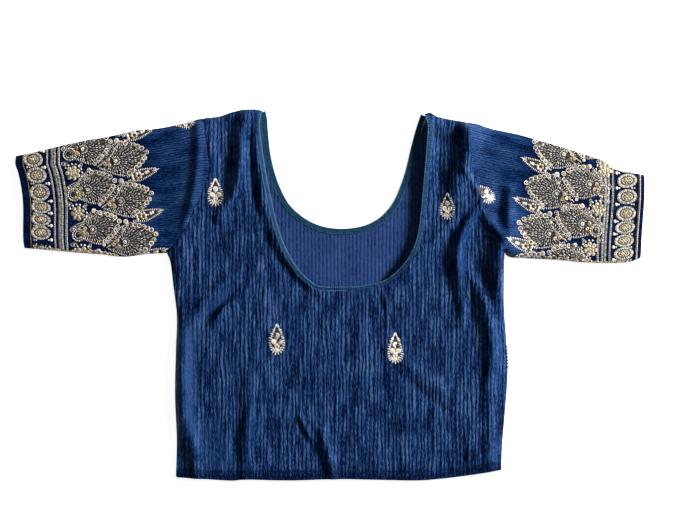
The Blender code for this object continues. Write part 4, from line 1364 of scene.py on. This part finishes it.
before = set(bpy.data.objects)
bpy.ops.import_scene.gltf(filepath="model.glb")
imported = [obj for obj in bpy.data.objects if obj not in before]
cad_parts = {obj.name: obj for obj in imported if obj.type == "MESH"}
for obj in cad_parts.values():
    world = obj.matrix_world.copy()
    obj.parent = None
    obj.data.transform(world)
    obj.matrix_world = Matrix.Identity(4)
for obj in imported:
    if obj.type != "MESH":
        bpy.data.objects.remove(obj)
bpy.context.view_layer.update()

navy_tones = (NAVY_TROUGH, NAVY_MIDDLE, NAVY_CREST, NAVY_GLINT)
inside_tones = (INSIDE_TROUGH, INSIDE_MIDDLE, INSIDE_CREST, INSIDE_GLINT)
navy = cloth_material(
    "crinkled navy cloth", navy_tones, 0.45, (420, 280, 200), (800, 230, 200), 1.0, 2.7, 0.0005)
navy_sleeve = cloth_material(
    "crinkled navy sleeve cloth", navy_tones, 0.5, (300, 420, 200), (360, 700, 200), 0.8, 1.7, 0.00025)
inside = cloth_material(
    "inner side of the cloth", inside_tones, 0.6, (420, 240, 200), (560, 300, 200), 0.7, 2.0, 0.0001)
front_band = band_material("front neck binding", scaled(BAND_BLUE, 0.25), scaled(BAND_BLUE, 1.3))
back_band = band_material("back neck binding", scaled(BACK_BAND_TEAL, 0.45), scaled(BACK_BAND_TEAL, 1.6))
picot = thread_material("teal picot thread", scaled(PICOT_TEAL, 0.6), PICOT_TEAL, 0.5, 0.0)
picot_dark = thread_material("dark teal thread", scaled(PICOT_TEAL, 0.25), scaled(PICOT_TEAL, 0.4), 0.6, 0.0)
# Dark thread for the hem stitches, which also paint the shade of the stitched groove above the hem
hem_thread_and_shadow_line = thread_material(
    "navy hem thread", scaled(NAVY_CREST, 0.06), scaled(NAVY_CREST, 0.2), 0.8, 0.0, specular=0.01)
thread_materials = {
    "gold": thread_material("gold thread", scaled(GOLD, 0.45), GOLD, 0.42, 0.35),
    "bronze": thread_material("bronze thread", scaled(BRONZE, 0.5), BRONZE, 0.42, 0.35),
    # Brown thread; its wide fill stitches are painted shade between the embroidered parts
    "brown": thread_material("brown thread", scaled(BROWN_THREAD_AND_SHADE, 0.5), BROWN_THREAD_AND_SHADE, 0.6, 0.0),
    "silver": thread_material("silver thread", scaled(SILVER, 0.4), SILVER, 0.4, 0.2),
    "cream": thread_material("cream thread", scaled(CREAM, 0.55), CREAM, 0.6, 0.0),
    "sequin": thread_material("sequins", scaled(CREAM, 0.6), SILVER, 0.2, 0.85),
    "pearl": thread_material("pearls", scaled(CREAM, 0.9), (0.85, 0.83, 0.8, 1.0), 0.25, 0.0),
}

front_outline = body_outline(FRONT_NECK_EDGE, FRONT_WIDTHS)
back_outline = body_outline(BACK_NECK_EDGE, BACK_WIDTHS)
(left_x, right_x), (low_y, high_y) = BODY_SPAN_X, BODY_SPAN_Y
front_columns, front_rows = spaced(left_x, right_x, RIB_STEP), spaced(low_y, high_y, 2.4)
front = panel("front_cloth", front_outline, front_columns, front_rows, front_height, 1.3, False, navy)
window_left, window_right = BACK_WINDOW_X
back_columns = np.concatenate([
    spaced(left_x, window_left, 6)[:-1], spaced(window_left, window_right, RIB_STEP),
    spaced(window_right, right_x, 6)[1:],
])
back_rows = np.concatenate([spaced(low_y, BACK_WINDOW_LOW, 8)[:-1], spaced(BACK_WINDOW_LOW, high_y, 3.5)])
back = panel("back_cloth", back_outline, back_columns, back_rows, back_height, 1.0, True, inside)
sleeves = {
    "left": Sleeve("left", SLEEVE_SEAM_LEFT, SLEEVE_TOP_LEFT, CUFF_LEFT),
    "right": Sleeve("right", SLEEVE_SEAM_RIGHT, SLEEVE_TOP_RIGHT, CUFF_RIGHT),
}
sleeve_cloth = {side: sleeves[side].shell("sleeve_cloth_" + side, navy_sleeve) for side in sleeves}
band_front = binding(
    "binding_front", FRONT_NECK_EDGE, FRONT_WIDTHS, lambda x, y: FRONT_BASE + lift(x, y), front_band)
band_back = binding(
    "binding_back", BACK_NECK_EDGE, BACK_WIDTHS, lambda x, y: np.full(len(x), REST_HEIGHT), back_band)

for side in sleeves:
    sleeve_work(side)
body_work(front_outline)
neck_stitches()
hem_stitches()

for piece, node, slot in (
    (front, "front_panel", "crinkled_cloth"),
    (back, "back_panel", "crinkled_cloth_inside"),
    (sleeve_cloth["left"], "sleeve_left", "crinkled_cloth"),
    (sleeve_cloth["right"], "sleeve_right", "crinkled_cloth"),
    (band_front, "neck_binding_front", "neck_binding_cloth"),
    (band_back, "neck_binding_back", "neck_binding_cloth"),
):
    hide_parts(node)

# Floor, light and camera
floor_mesh = bpy.data.meshes.new("floor")
floor_mesh.from_pydata([(-6, -6, 0), (6, -6, 0), (6, 6, 0), (-6, 6, 0)], [], [(0, 1, 2, 3)])
floor_obj = bpy.data.objects.new("floor", floor_mesh)
bpy.context.scene.collection.objects.link(floor_obj)
floor_material, *_, floor_shader = principled("pale floor", (0.9, 0.9, 0.9, 1), 0.9, specular=0.1)
floor_shader.inputs["Emission Color"].default_value = (1, 1, 1, 1)
floor_shader.inputs["Emission Strength"].default_value = 0.85
floor_mesh.materials.append(floor_material)


def area_light(name, place, target, size, power, colour=(1, 1, 1)):
    light = bpy.data.lights.new(name, "AREA")
    light.size, light.energy, light.color = size, power, colour
    obj = bpy.data.objects.new(name, light)
    obj.location = place
    obj.rotation_euler = (Vector(target) - Vector(place)).to_track_quat("-Z", "Y").to_euler()
    bpy.context.scene.collection.objects.link(obj)


area_light("key", (2.8, 1.1, 1.45), (0, 0, 0), 0.7, 270)
area_light("soft", (-0.6, 1.2, 3.0), (0, 0, 0), 2.5, 4)
world = bpy.data.worlds.new("studio")
world.use_nodes = True
world.node_tree.nodes["Background"].inputs["Color"].default_value = (1, 1, 1, 1)
world.node_tree.nodes["Background"].inputs["Strength"].default_value = 0.11
bpy.context.scene.world = world
bpy.context.scene.view_settings.view_transform = "Standard"

CAMERA_HEIGHT = 2.4
VIEW_WIDTH = 0.770
camera = bpy.data.cameras.new("camera")
camera.sensor_width = 36
camera.lens = 36 * CAMERA_HEIGHT / VIEW_WIDTH
camera_obj = bpy.data.objects.new("camera", camera)
camera_obj.location = (0.022, 0.03575, CAMERA_HEIGHT)
bpy.context.scene.collection.objects.link(camera_obj)
bpy.context.scene.camera = camera_obj
